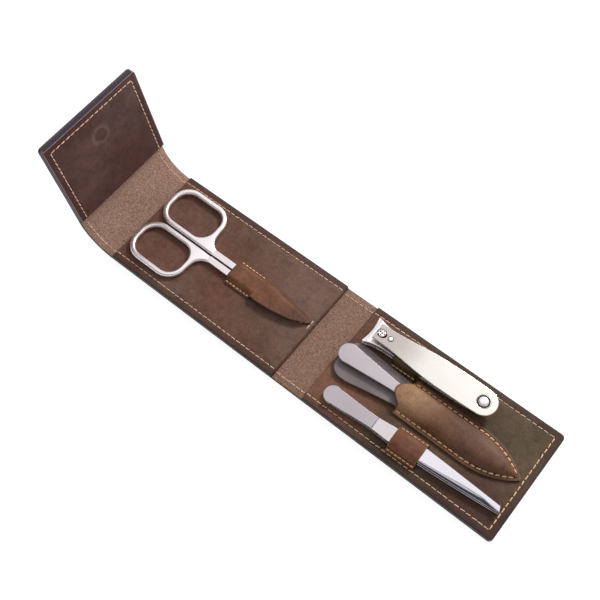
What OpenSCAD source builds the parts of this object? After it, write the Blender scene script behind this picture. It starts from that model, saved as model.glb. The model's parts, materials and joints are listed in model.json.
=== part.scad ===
// Folding leather manicure case: three stitched panels, two folds, and four steel tools.
// Millimetres, +Z up. The origin is the centre of the base panel's underside, +X runs from
// the spine to the base's free end, and the panels lie flat with the flap standing.

/* [Case] */
// Width of every panel
case_w = 56.5; // [54:0.5:64]
// Length of the base panel, which holds the clipper, file and tweezers
base_len = 100; // [98:1:112]
// Length of the cover panel, which holds the scissors
cover_len = 100; // [98:1:112]
// Length of the spine between the two fold lines
spine_len = 16.7; // [16.5:0.1:20]
// Length of the closing flap beyond its fold line
flap_len = 50.5; // [46:0.5:56]
// Radius of the rounded free corners
corner_r = 2.5; // [1:0.5:5]
// Outer leather thickness
leather_t = 1.6; // [1.2:0.1:1.8]
// Stiffening board thickness
board_t = 1.0; // [0.8:0.1:1.2]
// Lining leather thickness
lining_t = 1.2; // [0.9:0.1:1.3]
// Distance from the panel's edge to the board inside it
board_inset = 5; // [4:0.5:8]
// Clearance between a panel's lining and the fold line beside it
fold_gap = 0.3; // [0.2:0.1:1]

/* [Gusset and flap] */
// Inside radius of the curved gusset
gusset_r = 15.6; // [15:0.1:20]
// Straight run of the gusset beside the flap
gusset_flat = 3.3; // [2.5:0.1:6]
// Angle at which the flap stands
flap_angle = 82.5; // [60:0.5:90]
// Diameter of the flap's magnet
magnet_d = 9; // [6:0.5:12]
// Thickness of the magnet and of its plate
magnet_t = 0.9; // [0.5:0.1:0.9]
// Distance of the magnet from the flap's fold line
magnet_at = 35; // [20:1:38]
// Diameter of the steel plate in the base that the magnet holds
plate_d = 10; // [6:0.5:14]

/* [Stitching] */
// Distance of the stitch line from a panel's edge
stitch_inset = 3.4; // [2.5:0.1:4.5]
// Distance from one stitch to the next
stitch_pitch = 3.6; // [3:0.1:5]
// Length of one stitch
stitch_len = 2.8; // [2:0.1:2.9]
// Thread width
thread_w = 0.6; // [0.4:0.1:0.9]
// Height of a stitch above the leather
thread_h = 0.25; // [0.15:0.01:0.26]
// Distance between stitches on the straps and pouch
small_pitch = 2.5; // [2:0.1:3.5]
// Length of a stitch on the straps and pouch
small_len = 1.7; // [1.2:0.1:1.9]

/* [Straps, pouch and sheath] */
// Leather thickness of the clipper strap
strap_t = 0.9; // [0.8:0.1:1.1]
// Leather thickness of the file pouch and tweezers strap
pouch_t = 1.2; // [0.8:0.1:1.4]
// Leather thickness of the scissors sheath
sheath_t = 0.9; // [0.7:0.1:1]
// Width of the stitched foot on each side of a strap
strap_foot = 1.6; // [1.3:0.1:1.7]
// Length of the clipper strap along the clipper
clipper_strap_len = 13; // [9:0.5:16]
// Length of the tweezers strap along the tweezers
tweezers_strap_len = 14.4; // [10:0.2:18]
// Clearance between a tool and the leather over it
tool_gap = 0.4; // [0.3:0.05:0.5]
// Distance from the base's spine end to the pouch's mouth corners
pouch_at = 35.8; // [32:0.2:40]
// Length of the pouch from mouth corners to tip
pouch_len = 59.5; // [57:0.5:61]
// Half width of the pouch
pouch_half_w = 9.4; // [8.6:0.2:9.8]
// Length of the pouch's pointed end
pouch_point_len = 24; // [18:1:30]
// How far the pouch's mouth bulges towards the handle
mouth_bulge = 4.9; // [3:0.1:6]
// Distance from the cover's flap end to the sheath's band
sheath_at = 52.6; // [50:0.2:56]
// Length of the sheath's stitched band
sheath_band_len = 14.6; // [10:0.2:15.5]
// Length of the sheath's tongue over the blades
tongue_len = 30; // [29.5:0.1:31.5]

/* [Scissors] */
// Distance from the cover's flap end to the scissors' finger loops
scissors_at = 2.3; // [1:0.1:3]
// Sideways place of the scissors' axis
scissors_y = 0.4; // [-0.5:0.1:1.2]
// Distance from the loops' end to the pivot screw
handle_len = 64.7; // [62:0.1:66]
// Distance from the pivot screw to the blade tips
blade_len = 28; // [22:0.5:28.5]
// Thickness of the handles
handle_t = 2.8; // [2.5:0.1:2.8]
// Thickness of one blade
blade_t = 1.1; // [0.8:0.05:1.2]
// Length of a finger hole
loop_hole_len = 27; // [22:0.5:28]
// Width of a finger hole
loop_hole_w = 17.3; // [15:0.1:18]
// Width of the steel around a finger hole
loop_bar = 2.6; // [2:0.1:2.8]
// Width of one shank
shank_w = 3.2; // [2.6:0.1:3.4]
// Gap between the two closed halves
halves_gap = 0.8; // [0.5:0.1:1.2]
// Diameter of the pivot screw's shank
screw_d = 2.4; // [2:0.1:2.8]
// Diameter of the pivot screw's head
screw_head_d = 4.2; // [3.6:0.1:4.6]

/* [Clipper] */
// Distance from the base's spine end to the clipper's jaws
clipper_at = 5.5; // [4:0.1:7]
// Sideways place of the clipper's axis at its strap
clipper_y = 15.9; // [15.6:0.1:16.4]
// Angle of the clipper's axis to the case's
clipper_yaw = 1.2; // [0:0.1:1.5]
// Length of the clipper's arms
arm_len = 62; // [58:0.5:64]
// Thickness of one arm
arm_t = 1.1; // [0.9:0.05:1.1]
// Half width of the jaws
jaw_half_w = 6.9; // [6:0.1:7]
// Half width of the arms behind the jaws
arm_half_w = 4.9; // [4.2:0.1:5]
// Distance from the jaws to the post
post_at = 6.2; // [5.4:0.1:7]
// Diameter of the post
post_d = 3.2; // [2.6:0.1:3.2]
// Thickness of the lever
lever_t = 1.0; // [0.8:0.1:1.1]
// Greatest half width of the lever
lever_half_w = 6.6; // [5.6:0.1:6.8]
// Distance from the post to the button on the lever
button_at = 52.9; // [48:0.1:53.5]
// Diameter of the button
button_d = 6.2; // [5:0.1:7]
// Height of the button above the lever
button_h = 0.8; // [0.4:0.1:0.9]
// Opening between the jaws
jaw_gap = 1.3; // [1:0.1:1.6]

/* [File] */
// Distance from the base's spine end to the file's handle
file_at = 0.3; // [0.3:0.1:1]
// Sideways place of the file and its pouch
file_y = 0.2; // [-0.6:0.1:0.6]
// Length of the file
file_len = 88; // [82:0.5:88.5]
// Diameter of the handle's round end
file_end_d = 9.7; // [8:0.1:10]
// Width of the file where the handle meets the blade
file_neck_w = 4.7; // [4:0.1:5.2]
// Thickness of the file
file_t = 1.0; // [0.8:0.1:1.2]
// Height of the file's underside above the lining
file_lift = 3.8; // [3.7:0.1:4]
// Thickness of the guard plate under the file
guard_t = 1.2; // [0.8:0.1:1.6]
// Half width of the guard's paddle end
guard_half_w = 9.4; // [8.8:0.1:9.6]
// How far the guard's paddle end sits off the file's axis
guard_shift = 1.35; // [1.2:0.05:2]

/* [Tweezers] */
// Distance from the base's spine end to the tweezers' head
tweezers_at = 6.8; // [4:0.1:9]
// Sideways place of the tweezers' axis at their strap
tweezers_y = -17.7; // [-17.8:0.1:-17.3]
// Angle of the tweezers' axis to the case's
tweezers_yaw = 1.8; // [1:0.1:2.2]
// Length of the tweezers
tweezers_len = 89; // [84:0.5:90]
// Thickness of one arm of the tweezers
tweezer_t = 0.9; // [0.7:0.05:1]
// Half width of the head
head_half_w = 4.3; // [3.8:0.1:4.4]
// Half width at the waist
waist_half_w = 3.0; // [2.6:0.1:3.2]
// Half width of the arms at the strap
grip_half_w = 3.6; // [3.2:0.1:3.7]
// Half width of the tips
tip_half_w = 1.4; // [1:0.1:1.8]
// Height of the upper arm's underside at the strap
tweezer_spread = 3.3; // [2.8:0.1:3.5]

/* [Hidden] */
$fn = 64;

// Colours
outer_brown = "#3b2a26";
lining_brown = "#54392d";
strap_brown = "#6b4228";
suede_tan = "#85695a";
thread_tan = "#d9a684";
board_grey = "#8d867c";
steel = "#d8d4d6";
guard_grey = "#6d6264";

// A hair's width that keeps touching faces from overlapping
hair = 0.02;
// Height at which the scissors and tweezers ride over the stitches
ride_h = thread_h + 0.1;
// Overshoot of cutting shapes
over = 1;

// Heights
stack_t = leather_t + board_t + lining_t;
raised_t = board_t + lining_t;

// Fold lines and panel ends along X
base_x0 = -base_len / 2;
base_x1 = base_len / 2;
spine_x0 = base_x0 - spine_len;
cover_x0 = spine_x0 - cover_len;

// The flap opens flat: each of its two folds then opens by half the standing angle
flap_open = flap_angle / 2;
// Each side of a fold is bevelled by half of that, and a little more
bevel = flap_open / 2 + 1.5;
flap_hinge_x = cover_x0 - gusset_r * sin(flap_angle) - gusset_flat * cos(flap_angle);
flap_hinge_z = leather_t + gusset_r * (1 - cos(flap_angle)) + gusset_flat * sin(flap_angle);

// Heights along the clipper. The lower arm is bowed, and the upper arm opens from the tail
jaw_lip = 2;
rivet_at = arm_len - 5;
rivet_d = 3;
arm_gap = 0.3;
clipper_strap_from = 16.2;
front_z = 0.9;
bow_z = 0.15;
tail_z = 0.5;
lower_lip_top = 2.6;
jaw_lip_drop = 0.4;
upper_front_z = lower_lip_top + jaw_gap + jaw_lip_drop;
upper_top_z = upper_front_z + arm_t;
tail_top_z = tail_z + arm_t + arm_gap;
lower_z = [[0, front_z], [12, front_z], [22, bow_z], [45, bow_z], [arm_len, tail_z]];
upper_z = [[0, upper_front_z], [clipper_strap_from, upper_front_z], [29, upper_front_z - 0.4],
    [45, upper_front_z - 1.4], [rivet_at - 3, tail_top_z], [arm_len, tail_top_z]];
clipper_bridge_half_w = arm_half_w + tool_gap;
clipper_bridge_h = upper_top_z + tool_gap;
lever_gap = 0.3;
lever_z = clipper_bridge_h + strap_t + lever_gap;

// Places and heights along the tweezers
tweezers_strap_from = 36.2;
tweezers_bridge_half_w = grip_half_w + tool_gap;
tweezers_bridge_h = tweezer_spread + tweezer_t + tool_gap;

// ---------- Plain helpers ----------

// A closed outline from [x, half width] stations along one side, repeated on the other side
function mirrored(stations) = concat([for (p = stations) [p[0], -p[1]]],
    [for (i = [len(stations) - 1 : -1 : 0]) stations[i]]);

// A band of even height over a list of [x, z] underside points
module band(points, t) {
    rotate([90, 0, 0]) translate([0, 0, -case_w / 2]) linear_extrude(case_w)
        polygon(concat(points, [for (i = [len(points) - 1 : -1 : 0]) points[i] + [0, t]]));
}

// A row of stitches from p to q, centred between them, in the plane z = 0
module stitch_row(p, q, pitch, length) {
    run = norm(q - p);
    count = max(1, floor(run / pitch));
    start = (run - (count - 1) * pitch) / 2;
    translate([p[0], p[1], hair]) rotate([0, 0, atan2(q[1] - p[1], q[0] - p[0])])
        for (i = [0 : count - 1])
            translate([start + i * pitch - length / 2, -thread_w / 2, 0])
                cube([length, thread_w, thread_h]);
}

// Outline of a panel that runs from its fold line at x = 0 to a rounded free end
module panel_2d(length, width, r) {
    translate([0, -width / 2]) square([length - r, width]);
    translate([0, -width / 2 + r]) square([length, width - 2 * r]);
    for (side = [-1, 1]) translate([length - r, side * (width / 2 - r)]) circle(r);
}

// A wedge that bevels the leather's end at a fold line: the edge lies on the flesh face
module fold_bevel() {
    depth = leather_t + over;
    rotate([90, 0, 0]) translate([0, 0, -case_w / 2 - over]) linear_extrude(case_w + 2 * over)
        polygon([[0, 0], [over, 0], [over, -depth], [-tan(bevel) * depth, -depth]]);
}

// The panel's outer leather, from the fold line at x = 0 towards +x, flesh face at z = 0
module panel_leather(length, r) {
    translate([0, 0, -leather_t]) linear_extrude(leather_t) panel_2d(length, case_w, r);
}

// The stiffening board inside a panel
module panel_board(length) {
    translate([board_inset, -case_w / 2 + board_inset, 0])
        cube([length - 2 * board_inset, case_w - 2 * board_inset, board_t]);
}

// The lining, turned under at its edges so that it wraps the board
module panel_lining(length, r) {
    hollow = board_inset - fold_gap;
    difference() {
        linear_extrude(raised_t) intersection() {
            panel_2d(length, case_w, r);
            translate([fold_gap, -case_w]) square([length, 2 * case_w]);
        }
        translate([hollow, -case_w / 2 + hollow, -over])
            cube([length - 2 * hollow, case_w - 2 * hollow, board_t + over + hair]);
    }
}

// Distance of the stitch lines from the case's axis
stitch_y = case_w / 2 - stitch_inset;
// Where the rows of a panel start at its fold line, and how far they stop short of a corner
row_start = 1.6;
corner_gap = 0.4;

// Stitches along both sides of a panel and across its free end
module panel_stitches(length) {
    end = length - stitch_inset;
    for (side = [-1, 1])
        stitch_row([row_start, side * stitch_y], [end - corner_gap, side * stitch_y],
            stitch_pitch, stitch_len);
    stitch_row([end, -stitch_y + corner_gap], [end, stitch_y - corner_gap], stitch_pitch, stitch_len);
}

// Stitches along both sides of a panel that has a fold line at each end
module side_stitches(length, margin) {
    for (side = [-1, 1])
        stitch_row([margin, side * stitch_y], [length - margin, side * stitch_y], stitch_pitch, stitch_len);
}

// ---------- Frames of the panels and tools ----------

module in_base() { translate([base_x0, 0, leather_t]) children(); }
module in_cover() { translate([cover_x0, 0, leather_t]) children(); }
// The flap is drawn as if it ran flat towards +x, then turned round to stand
module in_flap() {
    translate([flap_hinge_x, 0, flap_hinge_z]) rotate([0, flap_angle, 0]) rotate([0, 0, 180]) children();
}
// Tool frames have z = 0 on the lining
module in_clipper() {
    strap_mid = clipper_strap_from + clipper_strap_len / 2;
    translate([base_x0 + clipper_at + strap_mid, clipper_y, stack_t]) rotate([0, 0, clipper_yaw])
        translate([-strap_mid, 0, 0]) children();
}
module in_tweezers() {
    strap_mid = tweezers_strap_from + tweezers_strap_len / 2;
    translate([base_x0 + tweezers_at + strap_mid, tweezers_y, stack_t]) rotate([0, 0, tweezers_yaw])
        translate([-strap_mid, 0, 0]) children();
}
module in_file() { translate([base_x0 + file_at, file_y, stack_t]) children(); }
module in_scissors() {
    translate([cover_x0 + scissors_at + handle_len, scissors_y, stack_t + ride_h]) children();
}

// ---------- Case panels ----------

module base_outer_leather() { color(outer_brown) in_base() panel_leather(base_len, corner_r); }

// Where the flap's magnet lands on the closed base, measured from the spine
closed_hinge_turn = (180 - flap_angle) / 2;
chord_x = flap_hinge_x - cover_x0;
chord_z = flap_hinge_z - leather_t;
closed_hinge_x = chord_x * cos(closed_hinge_turn) + chord_z * sin(closed_hinge_turn);
plate_at = base_len - closed_hinge_x - magnet_at;

module plate_place() { translate([plate_at, 0, 0]) children(); }

module base_board() {
    color(board_grey) in_base() difference() {
        panel_board(base_len);
        plate_place() translate([0, 0, -over]) cylinder(d = plate_d + fold_gap, h = board_t + 2 * over);
    }
}

module base_closure_plate() { color(steel) in_base() plate_place() cylinder(d = plate_d, h = magnet_t); }

module base_lining() { color(lining_brown) in_base() panel_lining(base_len, corner_r); }

module base_stitching() {
    color(thread_tan) in_base() translate([0, 0, raised_t]) panel_stitches(base_len);
}

module spine_leather() {
    color(suede_tan) translate([spine_x0, -case_w / 2, 0]) cube([spine_len, case_w, leather_t]);
}

// Three stitches on each side carry the stitch line over the spine
spine_row_margin = 2;
module spine_stitching() {
    color(thread_tan) translate([spine_x0, 0, leather_t]) side_stitches(spine_len, spine_row_margin);
}

module cover_outer_leather() {
    color(outer_brown) in_cover() difference() {
        panel_leather(cover_len, 0);
        rotate([0, 0, 180]) fold_bevel();
    }
}

module cover_board() { color(board_grey) in_cover() panel_board(cover_len); }

module cover_lining() {
    color(lining_brown) in_cover() intersection() {
        panel_lining(cover_len, 0);
        translate([0, -case_w, -over]) cube([cover_len - fold_gap, 2 * case_w, raised_t + 2 * over]);
    }
}

cover_row_margin = 1.2;
module cover_stitching() {
    color(thread_tan) in_cover() translate([0, 0, raised_t]) side_stitches(cover_len, cover_row_margin);
}

// ---------- Gusset and flap ----------

// A strip that follows the gusset's arc, between two radii and two angles from its start
module gusset_arc(r0, r1, a0, a1, width) {
    translate([cover_x0, 0, leather_t + gusset_r]) rotate([90, 0, 0]) rotate([0, 0, 270 - a1])
        rotate_extrude(angle = a1 - a0, $fn = 128)
            translate([r0, -width / 2]) square([r1 - r0, width]);
}

// The straight run starts a little inside the arc, so that the two join
arc_overlap = 0.3;
module gusset_leather() {
    color(suede_tan) difference() {
        union() {
            gusset_arc(gusset_r, gusset_r + leather_t, 0, flap_angle, case_w);
            in_flap() translate([-gusset_flat - arc_overlap, -case_w / 2, -leather_t])
                cube([gusset_flat + arc_overlap, case_w, leather_t]);
        }
        translate([cover_x0, 0, leather_t]) fold_bevel();
        in_flap() fold_bevel();
    }
}

module gusset_stitching() {
    turn = stitch_len / gusset_r * 180 / PI;
    step = stitch_pitch / gusset_r * 180 / PI;
    count = floor((flap_angle - turn) / step) + 1;
    start = (flap_angle - (count - 1) * step) / 2;
    color(thread_tan) for (side = [-1, 1], i = [0 : count - 1])
        translate([0, side * stitch_y, 0])
            gusset_arc(gusset_r - hair - thread_h, gusset_r - hair,
                start + i * step - turn / 2, start + i * step + turn / 2, thread_w);
}

module flap_outer_leather() {
    color(outer_brown) in_flap() difference() {
        panel_leather(flap_len, corner_r);
        rotate([0, 0, 180]) fold_bevel();
    }
}

module magnet_place() { translate([magnet_at, 0, 0]) children(); }

module flap_board() {
    color(board_grey) in_flap() difference() {
        panel_board(flap_len);
        magnet_place() translate([0, 0, -over]) cylinder(d = magnet_d + fold_gap, h = board_t + 2 * over);
    }
}

module flap_magnet() { color(steel) in_flap() magnet_place() cylinder(d = magnet_d, h = magnet_t); }

// The lining shows a shallow round dent over the magnet
magnet_dent = 0.15;
module flap_lining() {
    color(lining_brown) in_flap() difference() {
        panel_lining(flap_len, corner_r);
        magnet_place() translate([0, 0, raised_t - magnet_dent]) cylinder(d = magnet_d, h = over);
    }
}

module flap_stitching() {
    color(thread_tan) in_flap() translate([0, 0, raised_t]) panel_stitches(flap_len);
}

// ---------- Straps, pouch and sheath ----------

// A strap bent over a tool: two feet on the lining and a bridge, along +x from x = 0
module bridge_strap(length, half_w, height, t) {
    for (side = [-1, 1]) {
        translate([0, side > 0 ? half_w : -half_w - strap_foot - t, hair])
            cube([length, strap_foot + t, t]);
        translate([0, side > 0 ? half_w : -half_w - t, hair]) cube([length, t, height + t - hair]);
    }
    translate([0, -half_w, height]) cube([length, 2 * half_w, t]);
}

strap_row_margin = 0.2;
module bridge_stitches(length, half_w, t) {
    y = half_w + t + strap_foot / 2;
    for (side = [-1, 1]) translate([0, 0, t + hair])
        stitch_row([strap_row_margin, side * y], [length - strap_row_margin, side * y],
            small_pitch, small_len);
}

module clipper_strap() {
    color(strap_brown) in_clipper() translate([clipper_strap_from, 0, 0])
        bridge_strap(clipper_strap_len, clipper_bridge_half_w, clipper_bridge_h, strap_t);
}
module clipper_strap_stitching() {
    color(thread_tan) in_clipper() translate([clipper_strap_from, 0, 0])
        bridge_stitches(clipper_strap_len, clipper_bridge_half_w, strap_t);
}

module tweezers_strap() {
    color(strap_brown) in_tweezers() translate([tweezers_strap_from, 0, 0])
        bridge_strap(tweezers_strap_len, tweezers_bridge_half_w, tweezers_bridge_h, strap_t);
}
module tweezers_strap_stitching() {
    color(thread_tan) in_tweezers() translate([tweezers_strap_from, 0, 0])
        bridge_stitches(tweezers_strap_len, tweezers_bridge_half_w, strap_t);
}

// The pouch's leaf outline: straight sides from x = 0, then two arcs that meet in a point
function point_arc_r(half_w, point_len) = (half_w * half_w + point_len * point_len) / (2 * half_w);
module leaf_2d(half_w, length, point_len) {
    arc_r = point_arc_r(half_w, point_len);
    straight = length - point_len;
    translate([0, -half_w]) square([straight, 2 * half_w]);
    intersection() {
        translate([straight, arc_r - half_w]) circle(arc_r, $fn = 128);
        translate([straight, half_w - arc_r]) circle(arc_r, $fn = 128);
        translate([straight, -half_w]) square([point_len, 2 * half_w]);
    }
}

// The flat seam around the pouch's raised part, wider at the tip, and the stitches on it
pouch_seam = 3.2;
pouch_tip_seam = 4;
pouch_stitch_margin = 2.4;
pouch_row_start = 1;
pouch_wall_half_w = pouch_half_w - pouch_seam;
pouch_wall_len = pouch_len - pouch_tip_seam;
pouch_room_half_w = pouch_wall_half_w - pouch_t;
pouch_room_h = file_lift + file_t + tool_gap;
// The mouth's lip runs a little way into the wall behind it
mouth_root = 0.5;
mouth_half_w = pouch_wall_half_w - 0.1;
mouth_depth = mouth_bulge + mouth_root;
mouth_arc_r = (mouth_half_w * mouth_half_w + mouth_depth * mouth_depth) / (2 * mouth_depth);

module in_pouch() { translate([base_x0 + pouch_at, file_y, stack_t]) children(); }

// The bulging mouth adds a round lip to the raised part's outline
module mouth_2d() {
    intersection() {
        translate([mouth_arc_r - mouth_bulge, 0]) circle(mouth_arc_r);
        translate([-mouth_bulge - over, -mouth_half_w]) square([mouth_bulge + 2 * over, 2 * mouth_half_w]);
    }
}

module file_pouch() {
    color(strap_brown) in_pouch() difference() {
        union() {
            translate([0, 0, hair]) linear_extrude(pouch_t) leaf_2d(pouch_half_w, pouch_len, pouch_point_len);
            translate([0, 0, hair]) linear_extrude(pouch_room_h + pouch_t - hair)
                leaf_2d(pouch_wall_half_w, pouch_wall_len, pouch_point_len);
            translate([0, 0, pouch_room_h]) linear_extrude(pouch_t) mouth_2d();
        }
        translate([-over, 0, -over]) linear_extrude(pouch_room_h + over)
            leaf_2d(pouch_room_half_w, pouch_wall_len + over - pouch_t * 2, pouch_point_len);
    }
}

// Stitches follow the straight sides and the two arcs of the leaf
module file_pouch_stitching() {
    half_w = pouch_half_w - pouch_stitch_margin;
    straight = pouch_len - pouch_point_len;
    point_len = pouch_point_len - pouch_stitch_margin;
    arc_r = point_arc_r(half_w, point_len);
    reach = asin(point_len / arc_r);
    step = stitch_pitch / arc_r * 180 / PI;
    count = floor(reach / step);
    color(thread_tan) in_pouch() translate([0, 0, pouch_t + hair]) for (side = [-1, 1]) {
        stitch_row([pouch_row_start, side * half_w], [straight, side * half_w],
            stitch_pitch, stitch_len - thread_w);
        for (i = [0 : count - 1]) {
            a = (i + 0.5) * step;
            translate([straight + arc_r * sin(a), side * (half_w - arc_r + arc_r * cos(a)), hair])
                rotate([0, 0, -side * a]) translate([-stitch_len / 2 + thread_w / 2, -thread_w / 2, 0])
                    cube([stitch_len - thread_w, thread_w, thread_h]);
        }
    }
}

// The guard: a paddle-shaped plastic plate that reaches down into the pouch
guard_from = 1.6;
guard_neck_half_w = 6.5;
guard_corner_r = 6;
// Even run of the paddle behind its rounded corners, and its gap over the straps' feet
guard_even_len = 3;
guard_gap = 0.1;
// How far in front of the pouch's mouth corners the paddle ends
guard_shoulder_gap = 2.2;
module file_guard() {
    shoulder = pouch_at - file_at - guard_shoulder_gap;
    end = shoulder + pouch_wall_len - pouch_point_len;
    corner_x = guard_from + guard_corner_r;
    tail_half_w = pouch_room_half_w - tool_gap;
    color(guard_grey) in_file() translate([0, 0, strap_t + guard_gap]) linear_extrude(guard_t) {
        hull() {
            for (side = [-1, 1], x = [corner_x, corner_x + guard_even_len])
                translate([x, side * (guard_half_w - guard_corner_r) - guard_shift]) circle(guard_corner_r);
            translate([shoulder, -guard_neck_half_w]) square([hair, 2 * guard_neck_half_w]);
        }
        translate([shoulder, -tail_half_w]) square([end - shoulder, 2 * tail_half_w]);
    }
}

// The sheath: a stitched band over the shanks and a curved tongue over the blades
sheath_play = 0.15;
sheath_room_h = ride_h + 2 * blade_t + sheath_play;
sheath_room_half_w = shank_w + halves_gap / 2 + tool_gap;
blade_room_end = scissors_at + handle_len + blade_len + tool_gap - sheath_at;
sheath_off_y = 0.65;
sheath_half_w = 6.95;
sheath_seam = 1.1;
// The tongue's free end
tongue_end_half_w = 1.6;
tongue_end_y = 2.2;
// Along the tongue: distance from the band, draw-back of the near side and of both sides together
tongue_stations = [[0, 0.6, 1.8], [8, 1.6, 2.8], [17, 2.8, 5]];

module in_sheath() { translate([cover_x0 + sheath_at, scissors_y, stack_t]) children(); }

module tongue_2d() {
    hull() {
        for (s = tongue_stations)
            translate([sheath_band_len + s[0], sheath_off_y - sheath_half_w + s[1]])
                square([hair, 2 * sheath_half_w - s[2]]);
        translate([sheath_band_len + tongue_len - tongue_end_half_w, tongue_end_y])
            circle(tongue_end_half_w, $fn = 32);
    }
}

// The room for the shanks reaches a little way past the band
shank_room_reach = 2;
module scissors_sheath() {
    color(strap_brown) in_sheath() difference() {
        union() {
            translate([0, sheath_off_y - sheath_half_w, hair])
                cube([sheath_band_len, 2 * sheath_half_w, sheath_t]);
            translate([0, -sheath_room_half_w - sheath_t, hair])
                cube([sheath_band_len, 2 * (sheath_room_half_w + sheath_t), sheath_room_h + sheath_t - hair]);
            translate([0, 0, hair]) linear_extrude(sheath_room_h + sheath_t - hair) tongue_2d();
        }
        translate([-over, -sheath_room_half_w, -over])
            cube([sheath_band_len + over + shank_room_reach, 2 * sheath_room_half_w, sheath_room_h + over]);
        // The room for the blades is open along the near edge
        translate([sheath_band_len + hair, -case_w / 2, -over])
            cube([blade_room_end - sheath_band_len, case_w / 2 + sheath_room_half_w, sheath_room_h + over]);
    }
}

// Two tack stitches lie across the tongue's end
tack_gap = 1;
tack_y = [-0.4, 4];
module scissors_sheath_stitching() {
    y = sheath_half_w - sheath_seam;
    color(thread_tan) in_sheath() {
        for (side = [-1, 1]) translate([0, sheath_off_y, sheath_t + hair])
            stitch_row([strap_row_margin, side * y], [sheath_band_len - strap_row_margin, side * y],
                small_pitch, small_len);
        translate([sheath_band_len + tongue_len + tack_gap, 0, 0])
            stitch_row([0, tack_y[0]], [0, tack_y[1]], small_pitch, small_len);
    }
}

// ---------- Scissors, about the pivot at the origin, handles towards -x ----------

loop_half_len = loop_hole_len / 2 + loop_bar;
loop_x = -handle_len + loop_half_len;
loop_y = halves_gap / 2 + loop_bar + loop_hole_w / 2;
loop_corner = 7;
loop_end_x = loop_x + loop_half_len;
// The web that leads from the loop into the shank: reach along both sides, and its flare
web_reach = 4;
web_root = 6;
web_rise = 3;
web_flare = 4.6;
web_flare_back = 0.6;
lap_r = 5.2;
lap_gap = 0.1;
lap_t = blade_t - lap_gap / 2;
shank_out_y = halves_gap / 2 + shank_w;
// Shapes of the blade at half its length, and the place of its tip across the axis
blade_cut_share = 0.55;
blade_back_share = 0.72;
blade_tip_y = 0.5;
screw_play = 0.08;
screw_head_t = 0.4;
screw_slot_w = 0.6;
screw_slot_depth = 0.2;

module rounded_2d(length, width, r) {
    hull() for (i = [-1, 1], j = [-1, 1]) translate([i * (length / 2 - r), j * (width / 2 - r)]) circle(r);
}

// One half, as the far one: loop and shank at y > 0, blade crossing at the pivot
module scissors_half(blade_z, screw_hole_play) {
    difference() {
        union() {
            difference() {
                linear_extrude(handle_t) union() {
                    translate([loop_x, loop_y])
                        rounded_2d(loop_hole_len + 2 * loop_bar, loop_hole_w + 2 * loop_bar,
                            loop_corner + loop_bar);
                    polygon([[loop_x + web_reach, halves_gap / 2], [loop_end_x + web_reach, halves_gap / 2],
                        [loop_end_x + web_reach, shank_out_y],
                        [loop_end_x - web_flare_back, shank_out_y + web_flare],
                        [loop_end_x - web_root, shank_out_y + web_rise]]);
                }
                translate([loop_x, loop_y, -over]) linear_extrude(handle_t + 2 * over)
                    rounded_2d(loop_hole_len, loop_hole_w, loop_corner);
            }
            // The shank thins down where it goes under the sheath
            translate([loop_end_x, halves_gap / 2, 0])
                cube([-loop_end_x - lap_r, shank_w, 2 * blade_t]);
            // The lap over the other half
            translate([0, 0, blade_z]) {
                translate([-lap_r - 2 * over, halves_gap / 2, 0]) cube([lap_r + 2 * over, shank_w, lap_t]);
                cylinder(r = shank_out_y, h = lap_t);
                linear_extrude(lap_t)
                    polygon([[0, -shank_w], [blade_len / 2, -shank_w * blade_cut_share],
                        [blade_len, blade_tip_y], [blade_len / 2, shank_w * blade_back_share], [0, shank_w]]);
            }
        }
        translate([0, 0, -over]) cylinder(d = screw_d + 2 * screw_hole_play, h = handle_t + 2 * over);
    }
}

module scissors_far_half() {
    color(steel) in_scissors() difference() {
        scissors_half(blade_t + lap_gap / 2, screw_play);
        // The recess for the screw's head
        translate([0, 0, 2 * blade_t - screw_head_t - lap_gap])
            cylinder(d = screw_head_d + 4 * screw_play, h = over);
    }
}

module scissors_near_half() { color(steel) in_scissors() mirror([0, 1, 0]) scissors_half(0, hair); }

module scissors_pivot_screw() {
    color(steel) in_scissors() difference() {
        union() {
            cylinder(d = screw_d, h = 2 * blade_t);
            translate([0, 0, 2 * blade_t - screw_head_t]) cylinder(d = screw_head_d, h = screw_head_t);
        }
        translate([-screw_head_d, -screw_slot_w / 2, 2 * blade_t - screw_slot_depth])
            cube([2 * screw_head_d, screw_slot_w, over]);
    }
}

// ---------- Clipper, from the jaws at x = 0 towards the tail, on the lining at z = 0 ----------

// The jaws' front is hollowed by an arc
front_r = 26;
front_hollow = 0.9;
// The arms narrow behind the jaws and again towards the rounded tail
tail_r = arm_half_w - 0.8;
tail_taper_len = 16;
arm_stations = [[0, jaw_half_w], [jaw_lip, jaw_half_w - 0.35], [6, arm_half_w + 0.5], [14, arm_half_w],
    [arm_len - tail_taper_len, arm_half_w], [arm_len - tail_r, tail_r]];
post_play = 0.08;
rivet_play = 0.25;

// Plan of the arms
module arm_2d() {
    difference() {
        union() {
            polygon(mirrored(arm_stations));
            translate([arm_len - tail_r, 0]) circle(tail_r);
        }
        translate([-front_r + front_hollow, 0]) circle(front_r, $fn = 128);
    }
}

module clipper_lower_arm() {
    color(steel) in_clipper() difference() {
        intersection() {
            linear_extrude(lower_lip_top) arm_2d();
            union() {
                band(lower_z, arm_t);
                translate([0, -case_w / 2, front_z]) cube([jaw_lip, case_w, lower_lip_top]);
            }
        }
        translate([post_at, 0, -over]) cylinder(d = post_d + 2 * post_play, h = lower_lip_top + 2 * over);
        translate([rivet_at, 0, -over]) cylinder(d = rivet_d + 2 * hair, h = lower_lip_top + 2 * over);
    }
}

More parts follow.
